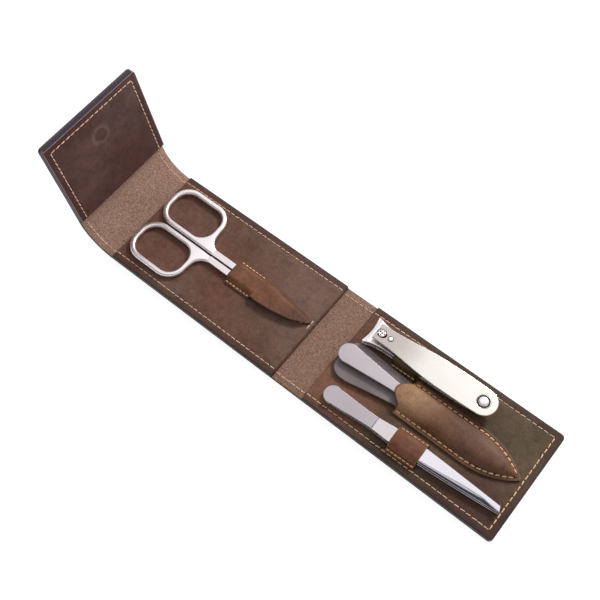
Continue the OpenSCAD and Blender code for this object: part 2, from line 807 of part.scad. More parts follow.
module clipper_upper_arm() {
    color(steel) in_clipper() difference() {
        intersection() {
            linear_extrude(upper_top_z) arm_2d();
            union() {
                band(upper_z, arm_t);
                translate([0, -case_w / 2, lower_lip_top + jaw_gap]) cube([jaw_lip, case_w, upper_top_z]);
            }
        }
        translate([post_at, 0, -over]) cylinder(d = post_d + 2 * tool_gap, h = upper_top_z + 2 * over);
        translate([rivet_at, 0, -over]) cylinder(d = rivet_d + 2 * rivet_play, h = upper_top_z + 2 * over);
    }
}

// The rivet and the post stand a little clear of the lining
foot_gap = 0.1;
rivet_head_d = 4.6;
rivet_head_t = 0.5;
rivet_head_gap = 0.1;
module clipper_tail_rivet() {
    head_z = tail_top_z + arm_t + rivet_head_gap;
    color(steel) in_clipper() translate([rivet_at, 0, 0]) {
        translate([0, 0, foot_gap]) cylinder(d = rivet_d, h = head_z);
        translate([0, 0, head_z]) cylinder(d = rivet_head_d, h = rivet_head_t);
    }
}

post_foot_d = post_d + 1.4;
post_foot_t = 0.7;
post_head_d = post_d + 0.7;
post_head_t = 0.6;
post_head_gap = 0.05;
cross_w = 0.5;
cross_depth = 0.25;
module in_post() { in_clipper() translate([post_at, 0, 0]) children(); }

post_top_z = lever_z + lever_t + post_head_gap + post_head_t;
module clipper_post() {
    color(steel) in_post() difference() {
        union() {
            translate([0, 0, foot_gap]) {
                cylinder(d = post_foot_d, h = post_foot_t);
                cylinder(d = post_d, h = post_top_z - foot_gap);
            }
            translate([0, 0, post_top_z - post_head_t]) cylinder(d = post_head_d, h = post_head_t);
        }
        // A cross is cut into the head
        for (a = [0, 90]) rotate([0, 0, a]) translate([-post_head_d, -cross_w / 2, post_top_z - cross_depth])
            cube([2 * post_head_d, cross_w, over]);
    }
}

// Plan of the lever: narrow over the post, widening to a round end about the button
lever_end_r = lever_half_w - 0.3;
lever_stations = [[-2.7, 4.1], [5, 4.3], [14, lever_half_w - 1.5], [22, lever_half_w - 0.6],
    [34, lever_half_w], [44, lever_half_w], [button_at, lever_end_r]];
module lever_2d() {
    polygon(mirrored(lever_stations));
    translate([button_at, 0]) circle(lever_end_r);
}

// Half the length that the slot adds so that the lever can tilt about the post
slot_half_run = 0.45;
slot_w = post_head_d + 0.4;
dimple_at = 4.6;
dimple_d = 2.2;
dimple_depth = 0.25;
button_stem_d = 3;
module clipper_lever() {
    color(steel) in_post() translate([0, 0, lever_z]) difference() {
        linear_extrude(lever_t) lever_2d();
        // The slot in which the post stands
        translate([0, 0, -over]) linear_extrude(lever_t + 2 * over) {
            for (side = [-1, 1]) translate([side * slot_half_run, 0]) circle(d = slot_w);
            square([2 * slot_half_run, slot_w], center = true);
        }
        translate([dimple_at, 0, lever_t - dimple_depth]) cylinder(d = dimple_d, h = over);
        translate([button_at, 0, -over]) cylinder(d = button_stem_d + 2 * hair, h = lever_t + 2 * over);
    }
}

module clipper_lever_button() {
    dome_r = (button_d * button_d / 4 + button_h * button_h) / (2 * button_h);
    color(steel) in_post() translate([button_at, 0, lever_z]) {
        translate([0, 0, foot_gap]) cylinder(d = button_stem_d, h = lever_t - foot_gap + hair);
        translate([0, 0, lever_t]) intersection() {
            translate([0, 0, button_h - dome_r]) sphere(dome_r, $fn = 96);
            cylinder(d = button_d, h = button_h + over);
        }
    }
}

// ---------- File ----------

// The blade swells a little towards its middle and ends in a point
file_swell = 0.3;
file_swell_at = 30;
file_point_len = 12;
module nail_file() {
    end_r = file_end_d / 2;
    neck_x = pouch_at - file_at - mouth_bulge;
    half_w = file_neck_w / 2;
    color(steel) in_file() translate([0, 0, file_lift]) linear_extrude(file_t) {
        hull() {
            translate([end_r, 0]) circle(end_r);
            translate([neck_x, -half_w]) square([hair, file_neck_w]);
        }
        polygon([[neck_x, -half_w], [neck_x + file_swell_at, -half_w - file_swell],
            [file_len - file_point_len, -half_w], [file_len, 0], [file_len - file_point_len, half_w],
            [neck_x + file_swell_at, half_w + file_swell], [neck_x, half_w]]);
    }
}

// ---------- Tweezers, from the head at x = 0 towards the tips ----------

waist_at = 26.6;
grip_at = waist_at + 10;
grip_end = tweezers_strap_from + tweezers_strap_len;
// The arms are welded to a spacer over this length of the head
weld_len = 9;
weld_t = 0.4;
tip_z = 2.75;
tip_slant = 0.8;

module tweezers_2d() {
    r = head_half_w;
    hull() {
        translate([r, 0]) circle(r);
        translate([waist_at, -waist_half_w]) square([hair, 2 * waist_half_w]);
    }
    polygon([[waist_at, -waist_half_w], [grip_at, -grip_half_w], [grip_end, -grip_half_w],
        [tweezers_len, -tip_half_w], [tweezers_len - tip_slant, tip_half_w],
        [grip_end, grip_half_w], [grip_at, grip_half_w], [waist_at, waist_half_w]]);
}

module tweezers_arm(points) {
    intersection() {
        linear_extrude(stack_t * 2) tweezers_2d();
        band(points, tweezer_t);
    }
}

module tweezers_lower_arm() {
    color(steel) in_tweezers() {
        tweezers_arm([[-over, ride_h], [tweezers_len + over, ride_h]]);
        // The spacer at the head carries the upper arm
        intersection() {
            translate([0, 0, ride_h]) linear_extrude(tweezer_t + weld_t) tweezers_2d();
            translate([-over, -case_w / 2, 0]) cube([weld_len + over, case_w, stack_t]);
        }
    }
}

module tweezers_upper_arm() {
    head_z = ride_h + tweezer_t + weld_t + arm_gap;
    color(steel) in_tweezers()
        tweezers_arm([[-over, head_z], [weld_len, head_z], [tweezers_strap_from, tweezer_spread],
            [grip_end, tweezer_spread], [tweezers_len + over, tip_z]]);
}

// ---------- Drawing ----------

base_outer_leather();
base_board();
base_lining();
base_closure_plate();
base_stitching();
clipper_strap();
clipper_strap_stitching();
file_pouch();
file_pouch_stitching();
file_guard();
tweezers_strap();
tweezers_strap_stitching();
spine_leather();
spine_stitching();
cover_outer_leather();
cover_board();
cover_lining();
cover_stitching();
scissors_sheath();
scissors_sheath_stitching();
gusset_leather();
gusset_stitching();
flap_outer_leather();
flap_board();
flap_lining();
flap_magnet();
flap_stitching();
scissors_near_half();
scissors_far_half();
scissors_pivot_screw();
clipper_lower_arm();
clipper_tail_rivet();
clipper_upper_arm();
clipper_post();
clipper_lever();
clipper_lever_button();
nail_file();
tweezers_lower_arm();
tweezers_upper_arm();
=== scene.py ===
"""Dresses the folding manicure case: leather, suede and thread round four steel tools."""
import json
import math

import bmesh
import bpy
import numpy as np
from mathutils import Matrix, Vector


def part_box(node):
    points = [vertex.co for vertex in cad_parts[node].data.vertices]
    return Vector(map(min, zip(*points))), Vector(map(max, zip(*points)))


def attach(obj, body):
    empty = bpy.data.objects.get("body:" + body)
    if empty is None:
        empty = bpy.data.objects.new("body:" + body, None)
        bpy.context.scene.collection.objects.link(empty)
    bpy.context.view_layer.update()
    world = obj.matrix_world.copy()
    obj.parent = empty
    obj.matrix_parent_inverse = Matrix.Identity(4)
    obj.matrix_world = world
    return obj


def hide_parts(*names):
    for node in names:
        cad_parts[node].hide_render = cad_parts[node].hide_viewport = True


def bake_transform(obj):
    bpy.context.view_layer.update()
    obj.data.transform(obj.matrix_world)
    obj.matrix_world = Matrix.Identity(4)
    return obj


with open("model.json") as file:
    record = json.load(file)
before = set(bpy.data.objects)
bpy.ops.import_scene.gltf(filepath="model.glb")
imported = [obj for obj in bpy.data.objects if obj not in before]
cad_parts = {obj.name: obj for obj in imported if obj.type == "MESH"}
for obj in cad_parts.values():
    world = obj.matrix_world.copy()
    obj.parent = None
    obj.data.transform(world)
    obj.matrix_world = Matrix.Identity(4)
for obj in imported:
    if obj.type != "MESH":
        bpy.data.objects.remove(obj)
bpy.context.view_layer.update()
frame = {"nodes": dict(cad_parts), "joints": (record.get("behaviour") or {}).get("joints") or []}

MM = 0.001

# ---------- Places, from the frame ----------

JOINTS = {joint["name"]: joint for joint in frame["joints"]}


def box_mm(node):
    """Lowest and highest corner of a CAD node, in millimetres."""
    low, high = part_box(node)
    return low / MM, high / MM


def pivot_mm(joint):
    return Vector(JOINTS[joint]["pos_m"]) / MM


BASE_LOW, BASE_HIGH = box_mm("base_outer_leather")
CASE_HALF_W = BASE_HIGH.y
LEATHER_T = BASE_HIGH.z
LINING_Z = box_mm("base_lining")[1].z
RAISED_T = LINING_Z - LEATHER_T
SPINE_AT = pivot_mm("spine_fold")
COVER_AT = pivot_mm("cover_fold")
GUSSET_AT = pivot_mm("gusset_fold")
FLAP_AT = pivot_mm("flap_fold")
PANEL_LEN = BASE_HIGH.x - BASE_LOW.x
COVER_LEN = COVER_AT.x - GUSSET_AT.x
FLAP_ANGLE = math.radians(82.5)
FLAP_LEN = 50.5
GUSSET_R = 15.6
GUSSET_FLAT = 3.3
FOLD_GAP = 0.25
FOLD_ROUND = 0.22
CORNER_R = 1.9
STITCH_INSET = 3.4
POST_AT = 6.2
HEAD_MID = 4.5
POUCH_AT = 35.8
SHEATH_AT = 52.6


def tool_place(pivot, axis, reach, height):
    """The frame of a tool whose own x = reach stands at the pivot."""
    x = Vector(axis).normalized()
    z = Vector((0, 0, 1))
    turn = Matrix((x, z.cross(x), z)).transposed().to_4x4()
    return Matrix.Translation(Vector((pivot.x, pivot.y, height)) - x * reach) @ turn


BASE = Matrix.Translation((SPINE_AT.x, 0, LEATHER_T))
COVER = Matrix.Translation((GUSSET_AT.x, 0, LEATHER_T))
FLAP = Matrix.Translation(FLAP_AT) @ Matrix.Rotation(FLAP_ANGLE, 4, "Y") @ Matrix.Rotation(math.pi, 4, "Z")
CLIPPER = tool_place(pivot_mm("lever_swivel"), JOINTS["clipper_slide"]["axis"], POST_AT, LINING_Z)
TWEEZERS = tool_place(pivot_mm("tweezers_squeeze"), JOINTS["tweezers_slide"]["axis"], HEAD_MID, LINING_Z)
SCISSORS = tool_place(pivot_mm("scissors_pivot"), (1, 0, 0), 0, box_mm("scissors_near_half")[0].z)
FILE_LOW, FILE_HIGH = box_mm("nail_file")
FILE_Y = (FILE_LOW.y + FILE_HIGH.y) / 2
FILE = Matrix.Translation((FILE_LOW.x, FILE_Y, LINING_Z))
POUCH = Matrix.Translation((SPINE_AT.x + POUCH_AT, FILE_Y, LINING_Z))
LEVER = CLIPPER @ Matrix.Translation((POST_AT, 0, 0))
SHEATH = Matrix.Translation((GUSSET_AT.x + SHEATH_AT, pivot_mm("scissors_pivot").y, LINING_Z))

# ---------- Camera, lights and floor ----------

CAMERA_TARGET = Vector((-80.21, 8.80, 3.8)) * MM
CAMERA_AZIMUTH, CAMERA_HEIGHT, CAMERA_ROLL = (math.radians(angle) for angle in (43.957, 63.537, -5.364))
CAMERA_DISTANCE, CAMERA_LENS = 0.4235, 55.0
LIGHT_TARGET = (-0.07, 0.0, 0.0)
# The sky's brightest way, and how its strength follows the closeness to it: from, to, least, most
SKY_WAY = Vector((0.08, 0.58, 0.81)).normalized()
SKY_FALL = (-0.05, 0.72, 0.09, 0.63)


def add_camera():
    back = Vector((math.sin(CAMERA_AZIMUTH) * math.cos(CAMERA_HEIGHT),
                   -math.cos(CAMERA_AZIMUTH) * math.cos(CAMERA_HEIGHT), math.sin(CAMERA_HEIGHT)))
    level = (-back).cross(Vector((0, 0, 1))).normalized()
    over = level.cross(-back)
    cos, sin = math.cos(CAMERA_ROLL), math.sin(CAMERA_ROLL)
    right, up = cos * level + sin * over, cos * over - sin * level
    data = bpy.data.cameras.new("studio_camera")
    data.lens, data.sensor_width, data.clip_start, data.clip_end = CAMERA_LENS, 36.0, 0.01, 20.0
    camera = bpy.data.objects.new("studio_camera", data)
    turn = Matrix((right, up, back)).transposed().to_4x4()
    camera.matrix_world = Matrix.Translation(CAMERA_TARGET + back * CAMERA_DISTANCE) @ turn
    bpy.context.scene.collection.objects.link(camera)
    bpy.context.scene.camera = camera


def softbox(name, target, direction, distance, size, power):
    """A square area light that shines on the target from a direction."""
    data = bpy.data.lights.new(name, "AREA")
    data.shape, data.size, data.energy = "SQUARE", size, power
    light = bpy.data.objects.new(name, data)
    way = Vector(direction).normalized()
    light.location = Vector(target) + way * distance
    light.rotation_euler = way.to_track_quat("Z", "Y").to_euler()
    bpy.context.scene.collection.objects.link(light)


def add_node(tree, kind, settings, *values, **named):
    """Adds a node: first its settings, then the values or links of its sockets, in order or by name.
    Gives its outputs."""
    made = tree.nodes.new(kind)
    for key, value in settings.items():
        setattr(made, key, value)
    pairs = list(zip([s for s in made.inputs if s.enabled], values))
    pairs += [(made.inputs[label.replace("_", " ")], value) for label, value in named.items()]
    for socket, value in pairs:
        if isinstance(value, bpy.types.NodeSocket):
            tree.links.new(value, socket)
        else:
            socket.default_value = value
    return [s for s in made.outputs if s.enabled]


def add_sky():
    """A pale studio ceiling that falls off to a dark room in front of the case."""
    sky = bpy.data.worlds.new("studio")
    sky.use_nodes = True
    tree = sky.node_tree
    seen = add_node(tree, "ShaderNodeTexCoord", {})[0]
    close = add_node(tree, "ShaderNodeVectorMath", {"operation": "DOT_PRODUCT"}, seen, SKY_WAY)[0]
    fall = add_node(tree, "ShaderNodeMapRange", {"interpolation_type": "SMOOTHSTEP"}, close, *SKY_FALL)[0]
    shader = tree.nodes["Background"]
    shader.inputs["Color"].default_value = (0.98, 0.985, 1.0, 1.0)
    tree.links.new(fall, shader.inputs["Strength"])
    bpy.context.scene.world = sky


add_camera()
softbox("key_softbox", LIGHT_TARGET, (0.12, 0.72, 0.70), 0.8, 0.16, 4.2)
softbox("overhead_softbox", LIGHT_TARGET, (-0.30, 0.33, 0.895), 0.9, 0.9, 0.9)
add_sky()
bpy.context.scene.view_settings.view_transform = "Standard"

# ---------- Materials ----------


def shade(red, green, blue):
    """A shader's colour from display values of 0 to 255."""
    values = [v / 255 for v in (red, green, blue)]
    return tuple(v / 12.92 if v <= 0.04045 else ((v + 0.055) / 1.055) ** 2.4 for v in values) + (1.0,)


class Socket:
    """An output in a material's tree. Arithmetic on it adds Math nodes."""

    def __init__(self, finish, output):
        self.finish, self.output = finish, output

    def maths(self, operation, first, second):
        return self.finish.node("ShaderNodeMath", {"operation": operation}, first, second)

    def __add__(self, other):
        return self.maths("ADD", self, other)

    def __sub__(self, other):
        return self.maths("SUBTRACT", self, other)

    def __mul__(self, other):
        return self.maths("MULTIPLY", self, other)

    def __rsub__(self, other):
        return self.maths("SUBTRACT", other, self)

    __radd__, __rmul__ = __add__, __mul__

    def step(self, low, high):
        """0 below low and 1 above high, with a smooth run between."""
        return self.finish.node("ShaderNodeMapRange", {"interpolation_type": "SMOOTHSTEP"}, self, low, high)


class Finish:
    """A material with one Principled shader, built node by node, for a material slot of the record."""

    def __init__(self, name, slot, **sockets):
        self.slot = slot
        self.material = bpy.data.materials.new(name)
        self.material.use_nodes = True
        self.tree = self.material.node_tree
        self.shader = self.tree.nodes["Principled BSDF"]
        for label, value in sockets.items():
            self.shader.inputs[label.replace("_", " ")].default_value = value
        self.place = self.node("ShaderNodeTexCoord", {}, out=3)

    def node(self, kind, settings, *values, out=0, **named):
        """Adds a node and gives one of its outputs."""
        values = [getattr(value, "output", value) for value in values]
        named = {label: getattr(value, "output", value) for label, value in named.items()}
        return Socket(self, add_node(self.tree, kind, settings, *values, **named)[out])

    def along(self, x, y, z):
        """The object's own coordinates, scaled along each axis."""
        return self.node("ShaderNodeMapping", {}, Vector=self.place, Scale=(x, y, z))

    def noise(self, scale, detail=3.0, rough=0.5, at=None):
        return self.node("ShaderNodeTexNoise", {}, at or self.place, scale, detail, rough)

    def wave(self, at, scale, waver):
        """Slanting lines."""
        return self.node("ShaderNodeTexWave", {"bands_direction": "DIAGONAL"}, at, scale, waver, out=1)

    def reach(self, centre):
        """Distance from a place given in millimetres."""
        return self.node("ShaderNodeVectorMath", {"operation": "DISTANCE"}, self.place, Vector(centre) * MM)

    def mix(self, share, first, second, blend="MIX"):
        """A colour between first and second, which may be display values."""
        first, second = (shade(*tone) if isinstance(tone, tuple) else tone for tone in (first, second))
        return self.node("ShaderNodeMix", {"data_type": "RGBA", "blend_type": blend}, share, first, second)

    def grade(self, tone, change):
        """The colour times 1 + change."""
        return self.mix(1.0, tone, change + 1.0, "MULTIPLY")

    def paint(self, colour, rough, height, depth):
        """Links colour and roughness, and raises the surface by height times depth, in millimetres."""
        bump = self.node("ShaderNodeBump", {}, Strength=1.0, Distance=depth * MM, Height=height)
        for value, label in ((colour, "Base Color"), (rough, "Roughness"), (bump, "Normal")):
            self.tree.links.new(value.output, self.shader.inputs[label])
        return self

    def tone_and_light_patches(self, tone, patches, waver):
        """Lays patches over a colour, each (centre in mm, inner reach, outer reach, colour, share). Most are
        the material's own tone; some are painted light or shade.
        """
        for centre, inner, outer, colour, share in patches:
            reach = self.reach(centre) + waver
            tone = self.mix((1.0 - reach.step(inner * MM, outer * MM)) * share, tone, colour)
        return tone

    def rim(self):
        """Distance from the piece's nearest cut edge, in millimetres."""
        return self.node("ShaderNodeAttribute", {"attribute_name": "rim"}, out=2)


def oiled_leather(name, slot, deep, light, warm, burnish, burnish_run=(0.15, 0.9), margin=None, grain=0.05,
                  gloss=0.18, patches=(), rim_highlight=None, print_at=None, print_tones=None):
    """Waxed pull-up leather: cloudy colour, fine pores, and edges darkened by the burnisher. A lighter line
    along the rim is a painted highlight where the edge would catch the light, and a round print shows where
    something presses from inside."""
    made = Finish(name, slot, Specular_IOR_Level=gloss)
    cloud = made.noise(34, 4.0, 0.62).step(0.36, 0.66)
    warmth = made.noise(21, 3.0, 0.55, made.along(1.0, 1.7, 1.3)).step(0.42, 0.68)
    blotch = made.noise(170, 5.0, 0.6)
    mottle = made.noise(420, 4.0, 0.65)
    pores = made.noise(1500, 2.0, 0.5)
    tone = made.mix(warmth * 0.75, made.mix(cloud, deep, light), warm)
    tone = made.tone_and_light_patches(tone, patches, (blotch - 0.5) * 0.02 + (cloud - 0.5) * 0.006)
    tone = made.grade(tone, (blotch - 0.5) * 0.85 + (mottle - 0.5) * 0.8 + (pores - 0.5) * 0.75)
    rim = made.rim()
    edge = 1.0 - rim.step(*burnish_run)
    if margin:
        tone = made.mix((1.0 - rim.step(2.5, 3.5)) * 0.5, tone, margin)
    tone = made.mix(edge * 0.92, tone, burnish)
    cells = made.node("ShaderNodeTexVoronoi", {}, made.place, 1100)
    height = cells * 0.55 + pores * 0.6 + mottle * 0.8 + blotch * 1.2
    if rim_highlight:
        # Painted highlight: a light line just inside the cut edge.
        line = rim.step(0.15, 0.3) * (1.0 - rim.step(0.4, 0.6))
        tone = made.mix(line * 0.8, tone, rim_highlight)
    if print_at:
        reach = made.reach(print_at) + (mottle - 0.5) * 0.0012
        pressed = reach.step(3.2 * MM, 4.4 * MM)
        ring = pressed * (1.0 - reach.step(4.6 * MM, 6.6 * MM))
        height = height + pressed * 4.0
        tone = made.mix(ring * 0.38 * (blotch.step(0.35, 0.6) * 0.7 + 0.3), tone, print_tones[1])
        tone = made.mix((1.0 - pressed) * 0.3, tone, print_tones[0])
    return made.paint(tone, 0.66 - cloud * 0.08 + (pores - 0.5) * 0.12 - edge * 0.1, height, grain)


def suede(name, slot, dark, middle, light, patches=()):
    """The flesh side of the leather: a short rough nap of mixed fibres."""
    made = Finish(name, slot, Specular_IOR_Level=0.15, Sheen_Weight=0.1, Sheen_Roughness=0.6)
    specks = made.noise(1400, 6.0, 0.85)
    tufts = made.noise(820, 6.0, 0.75)
    drift = made.noise(60, 3.0, 0.5)
    tone = made.mix(0.42, made.mix(specks.step(0.37, 0.63), dark, light), middle)
    tone = made.grade(tone, (tufts - 0.5) * 0.7 + (drift - 0.5) * 0.3)
    tone = made.tone_and_light_patches(tone, patches, (drift - 0.5) * 0.02)
    return made.paint(tone, 0.9 + (specks - 0.5) * 0.1, specks * 0.7 + tufts, 0.12)


def waxed_thread(name, slot, light, dark):
    """Twisted thread, soiled a little where it has been handled."""
    made = Finish(name, slot, Specular_IOR_Level=0.4)
    twist = made.wave(made.place, 1100, 1.2)
    soil = made.noise(260, 3.0, 0.6)
    tone = made.mix(twist * 0.35 + soil.step(0.45, 0.75) * 0.45, light, dark)
    return made.paint(tone, 0.55 + (soil - 0.5) * 0.2, twist, 0.03)


def steel(name, slot, tint, rough, brush=0.02, streak=0.02, grain=0.0, depth=0.0004, patches=()):
    """Steel with fine marks that run along the tool, and a faint cloud in its gloss."""
    made = Finish(name, slot, Metallic=1.0)
    marks = made.noise(1.0, 3.0, 0.6, made.along(60, 2600, 2600))
    cloud = made.noise(90, 3.0, 0.5)
    fine = made.noise(4200, 2.0, 0.6)
    tone = made.tone_and_light_patches(tint, patches, (cloud - 0.5) * 0.006)
    tone = made.grade(tone, (marks - 0.5) * streak + (cloud - 0.5) * streak * 0.5 + (fine - 0.5) * grain)
    gloss = (marks - 0.5) * brush + (cloud - 0.5) * brush * 0.6 + (fine - 0.5) * grain + rough
    return made.paint(tone, gloss, marks * 0.5 + fine * (0.3 + 3 * grain), depth)


def cut_steel(name, slot, tint):
    """The file's cut: fine crossed teeth."""
    made = Finish(name, slot, Metallic=1.0)
    first, second = [made.wave(made.along(1, way, 0.0), 900, 0.4) for way in (1, -1)]
    teeth = first * second
    wear = made.noise(140, 3.0, 0.6)
    tone = made.mix(1.0, tint, teeth * 0.35 + (wear - 0.5) * 0.2 + 0.7, "MULTIPLY")
    return made.paint(tone, 0.42 + (wear - 0.5) * 0.15, teeth, 0.12)


def smooth_plastic(name, slot, light, dark):
    made = Finish(name, slot, Specular_IOR_Level=0.45)
    haze = made.noise(70, 3.0, 0.5)
    fine = made.noise(2600, 2.0, 0.5)
    return made.paint(made.mix(haze.step(0.35, 0.65), light, dark), 0.48 + (fine - 0.5) * 0.12, fine, 0.008)


def fibre_board(name, slot, light, dark):
    made = Finish(name, slot, Specular_IOR_Level=0.2)
    fibres = made.noise(1.0, 4.0, 0.7, made.along(700, 240, 700))
    return made.paint(made.mix(fibres.step(0.3, 0.7), light, dark), 0.85 + (fibres - 0.5) * 0.1, fibres, 0.05)


def painted_hole_shade(name, slot, dark, light):
    """Painted shade: a flat dark colour for a needle's hole or for a seam between two parts."""
    made = Finish(name, slot, Specular_IOR_Level=0.1)
    frayed = made.noise(900)
    return made.paint(made.mix(frayed, dark, light), 0.9 + (frayed - 0.5) * 0.1, frayed, 0.02)


EDGE_BROWN, MARGIN_BROWN = (46, 32, 36), (56, 39, 36)
POUCH_MID, SHEATH_MID = POUCH.translation, SHEATH.translation

lining_base = oiled_leather(
    "base_lining_leather", "lining_leather", (76, 57, 42), (96, 77, 58), (90, 66, 50), EDGE_BROWN,
    margin=MARGIN_BROWN, patches=(((-44, 6, 3.6), 12, 36, (98, 64, 52), 0.8),
                                  ((-40, -20, 3.6), 8, 30, (124, 84, 66), 0.8),
                                  ((36, -22, 3.6), 8, 30, (72, 45, 37), 0.85),
                                  ((-4, -24, 3.6), 4, 18, (72, 58, 42), 0.7),
                                  ((36, 16, 3.6), 4, 24, (80, 68, 50), 0.6)))
lining_cover = oiled_leather(
    "cover_lining_leather", "lining_leather", (90, 62, 50), (104, 79, 67), (106, 68, 54), EDGE_BROWN,
    margin=MARGIN_BROWN, patches=(((-150, 0, 3.6), 12, 34, (108, 74, 64), 0.55),
                                  ((-78, 18, 3.6), 6, 34, (112, 86, 76), 0.75)))
lining_flap = oiled_leather(
    "flap_lining_leather", "lining_leather", (66, 42, 37), (86, 61, 55), (75, 45, 39), (64, 54, 64),
    (0.12, 0.3), margin=(66, 34, 32), rim_highlight=(150, 134, 138), print_tones=((50, 32, 30), (124, 100, 94)),
    print_at=(box_mm("flap_magnet")[0] + box_mm("flap_magnet")[1]) / 2)
# The flap's copy differs only by a lighter edge colour: painted light on the raised flap's top edge.
outer_leather, outer_flap_painted_edge_light = [
    oiled_leather(name, "outer_leather", (46, 32, 31), (62, 47, 45), (58, 39, 36), edge, (0.1, 0.6),
                  gloss=0.15)
    for name, edge in (("outer_leather", (40, 28, 32)), ("flap_outer_leather", (86, 75, 86)))]
strap_olive = oiled_leather(
    "clipper_strap_leather", "strap_leather", (74, 58, 36), (100, 80, 50), (94, 66, 42), (60, 40, 26),
    (0.2, 1.2), gloss=0.3)
strap_red = oiled_leather(
    "tweezers_strap_leather", "strap_leather", (100, 56, 36), (120, 76, 52), (94, 54, 34), (120, 74, 42),
    (0.1, 0.8), gloss=0.3)
# The first patch, a light one at the mouth, is a painted sheen highlight; the second darkens the tip.
pouch_leather = oiled_leather(
    "pouch_leather", "strap_leather", (98, 64, 44), (124, 86, 60), (104, 72, 48), (96, 64, 44), (0.1, 0.7),
    grain=0.08, gloss=0.32, patches=((POUCH_MID + Vector((1, -3, 3)), 3, 18, (166, 127, 94), 0.75),
                                     (POUCH_MID + Vector((44, 0, 3)), 8, 24, (88, 60, 48), 0.6)))
sheath_leather = oiled_leather(
    "sheath_leather", "strap_leather", (106, 66, 44), (128, 84, 58), (100, 62, 44), (86, 56, 40), (0.1, 0.9),
    gloss=0.26, patches=((SHEATH_MID + Vector((44, 1, 1)), 6, 32, (84, 55, 43), 0.85),))
suede_side = suede("suede_side", "suede", (76, 53, 44), (136, 104, 90), (200, 163, 142),
                   patches=(((SPINE_AT + COVER_AT) / 2, 40, 60, (96, 66, 42), 0.3),))
thread = waxed_thread("peach_thread", "thread", (242, 204, 182), (198, 142, 110))
small_thread = waxed_thread("tan_thread", "thread", (255, 210, 164), (212, 150, 100))
hole_shadow = painted_hole_shade("painted_hole_shade", "outer_leather", (18, 9, 7), (36, 20, 15))
satin = steel("satin_nickel", "satin_steel", (252, 244, 245), 0.3)
# The lever's front patch is darker: painted shade standing in for the darker surroundings it would reflect.
lever_painted_shade = steel("lever_nickel_painted_shade", "satin_steel", (232, 227, 220), 0.26, 0.03, 0.03, patches=(
    (LEVER.translation + Vector((0, 0, 8)), 7, 27, (188, 177, 172), 0.9),))
# A dark copy of the polished steel: painted shade for the faces that would reflect the dark side of the room.
polished_painted_shade = steel("polished_painted_shade", "polished_steel", (92, 87, 96), 0.06, depth=0.0001)
shank_steel = steel("shank_steel", "satin_steel", (238, 229, 231), 0.32, 0.04, 0.05, 0.02, 0.0006)
seam_shadow = painted_hole_shade("seam_shadow", "satin_steel", (30, 25, 27), (50, 44, 47))
ground_steel = steel("ground_steel", "satin_steel", (208, 199, 202), 0.38, 0.08, 0.1, 0.08, 0.002)
matte = steel("blasted_steel", "matte_steel", (176, 167, 172), 0.46, 0.06, 0.08, 0.24, 0.004)
mirror = steel("polished_steel", "polished_steel", (240, 234, 242), 0.07, depth=0.0001)
file_cut = cut_steel("file_cut_steel", "matte_steel", (200, 198, 200))
guard_plastic = smooth_plastic("guard_plastic", "guard_plastic", (120, 108, 108), (106, 95, 95))
board = fibre_board("board_fibre", "board", (150, 140, 126), (112, 102, 90))
plate_steel = steel("plate_steel", "plate", (180, 180, 182), 0.4, 0.1, 0.1)
magnet_steel = steel("magnet_nickel", "magnet", (188, 188, 190), 0.3, 0.1, 0.1)

# ---------- Making pieces, in millimetres ----------


def carry(piece, body):
    """Fixes a piece to a body. Given (first, second, start, end) instead, it only bakes the piece's place
    into its mesh.
    """
    if isinstance(body, str):
        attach(piece, body)
    else:
        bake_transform(piece)


def to_piece(name, mesh, finishes, body, node, smooth_angle):
    """Turns a finished mesh into a piece on a body, in place of a CAD node or as an extra (None)."""
    piece = bpy.data.objects.new(name, mesh)
    bpy.context.scene.collection.objects.link(piece)
    if not mesh.materials:
        for finish in finishes:
            mesh.materials.append(finish.material)
    mesh.shade_smooth()
    mesh.set_sharp_from_angle(angle=math.radians(smooth_angle))
    if node:
        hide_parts(node)
    carry(piece, body)
    return piece


def bake(thing, place):
    """The evaluated mesh of an object made in millimetres, moved to its place. The object goes."""
    bpy.context.scene.collection.objects.link(thing)
    graph = bpy.context.evaluated_depsgraph_get()
    mesh = bpy.data.meshes.new_from_object(thing.evaluated_get(graph), depsgraph=graph)
    mesh.transform(Matrix.Scale(MM, 4) @ place)
    bpy.data.objects.remove(thing)
    return mesh


def even_normals(thing):
    """Keeps flat faces flat beside rounded edges."""
    normals = thing.modifiers.new("even_normals", "WEIGHTED_NORMAL")
    normals.keep_sharp = True


def raw_mesh(name, points, faces, indices=None, rim=None, place=None):
    """A mesh with the finish of each face and the rim attribute, where given, moved to its place."""
    mesh = bpy.data.meshes.new(name)
    mesh.from_pydata([tuple(p) for p in points], [], faces)
    if indices is not None:
        mesh.polygons.foreach_set("material_index", indices)
    if rim is not None:
        mesh.attributes.new("rim", "FLOAT", "POINT").data.foreach_set("value", np.asarray(rim, np.float32))
    mesh.update()
    if place:
        mesh.transform(Matrix.Scale(MM, 4) @ place)
    return mesh


def face_out(mesh):
    """Turns every face of a closed mesh outward."""
    form = bmesh.new()
    form.from_mesh(mesh)
    bmesh.ops.recalc_face_normals(form, faces=form.faces)
    form.to_mesh(mesh)
    form.free()
    return mesh


def tube_faces(rings, per):
    """Quads between closed rings of points, and a cap at both ends."""
    faces = [(r * per + k, r * per + (k + 1) % per, (r + 1) * per + (k + 1) % per, (r + 1) * per + k)
             for r in range(rings - 1) for k in range(per)]
    return faces + [tuple(reversed(range(per))), tuple(range((rings - 1) * per, rings * per))]


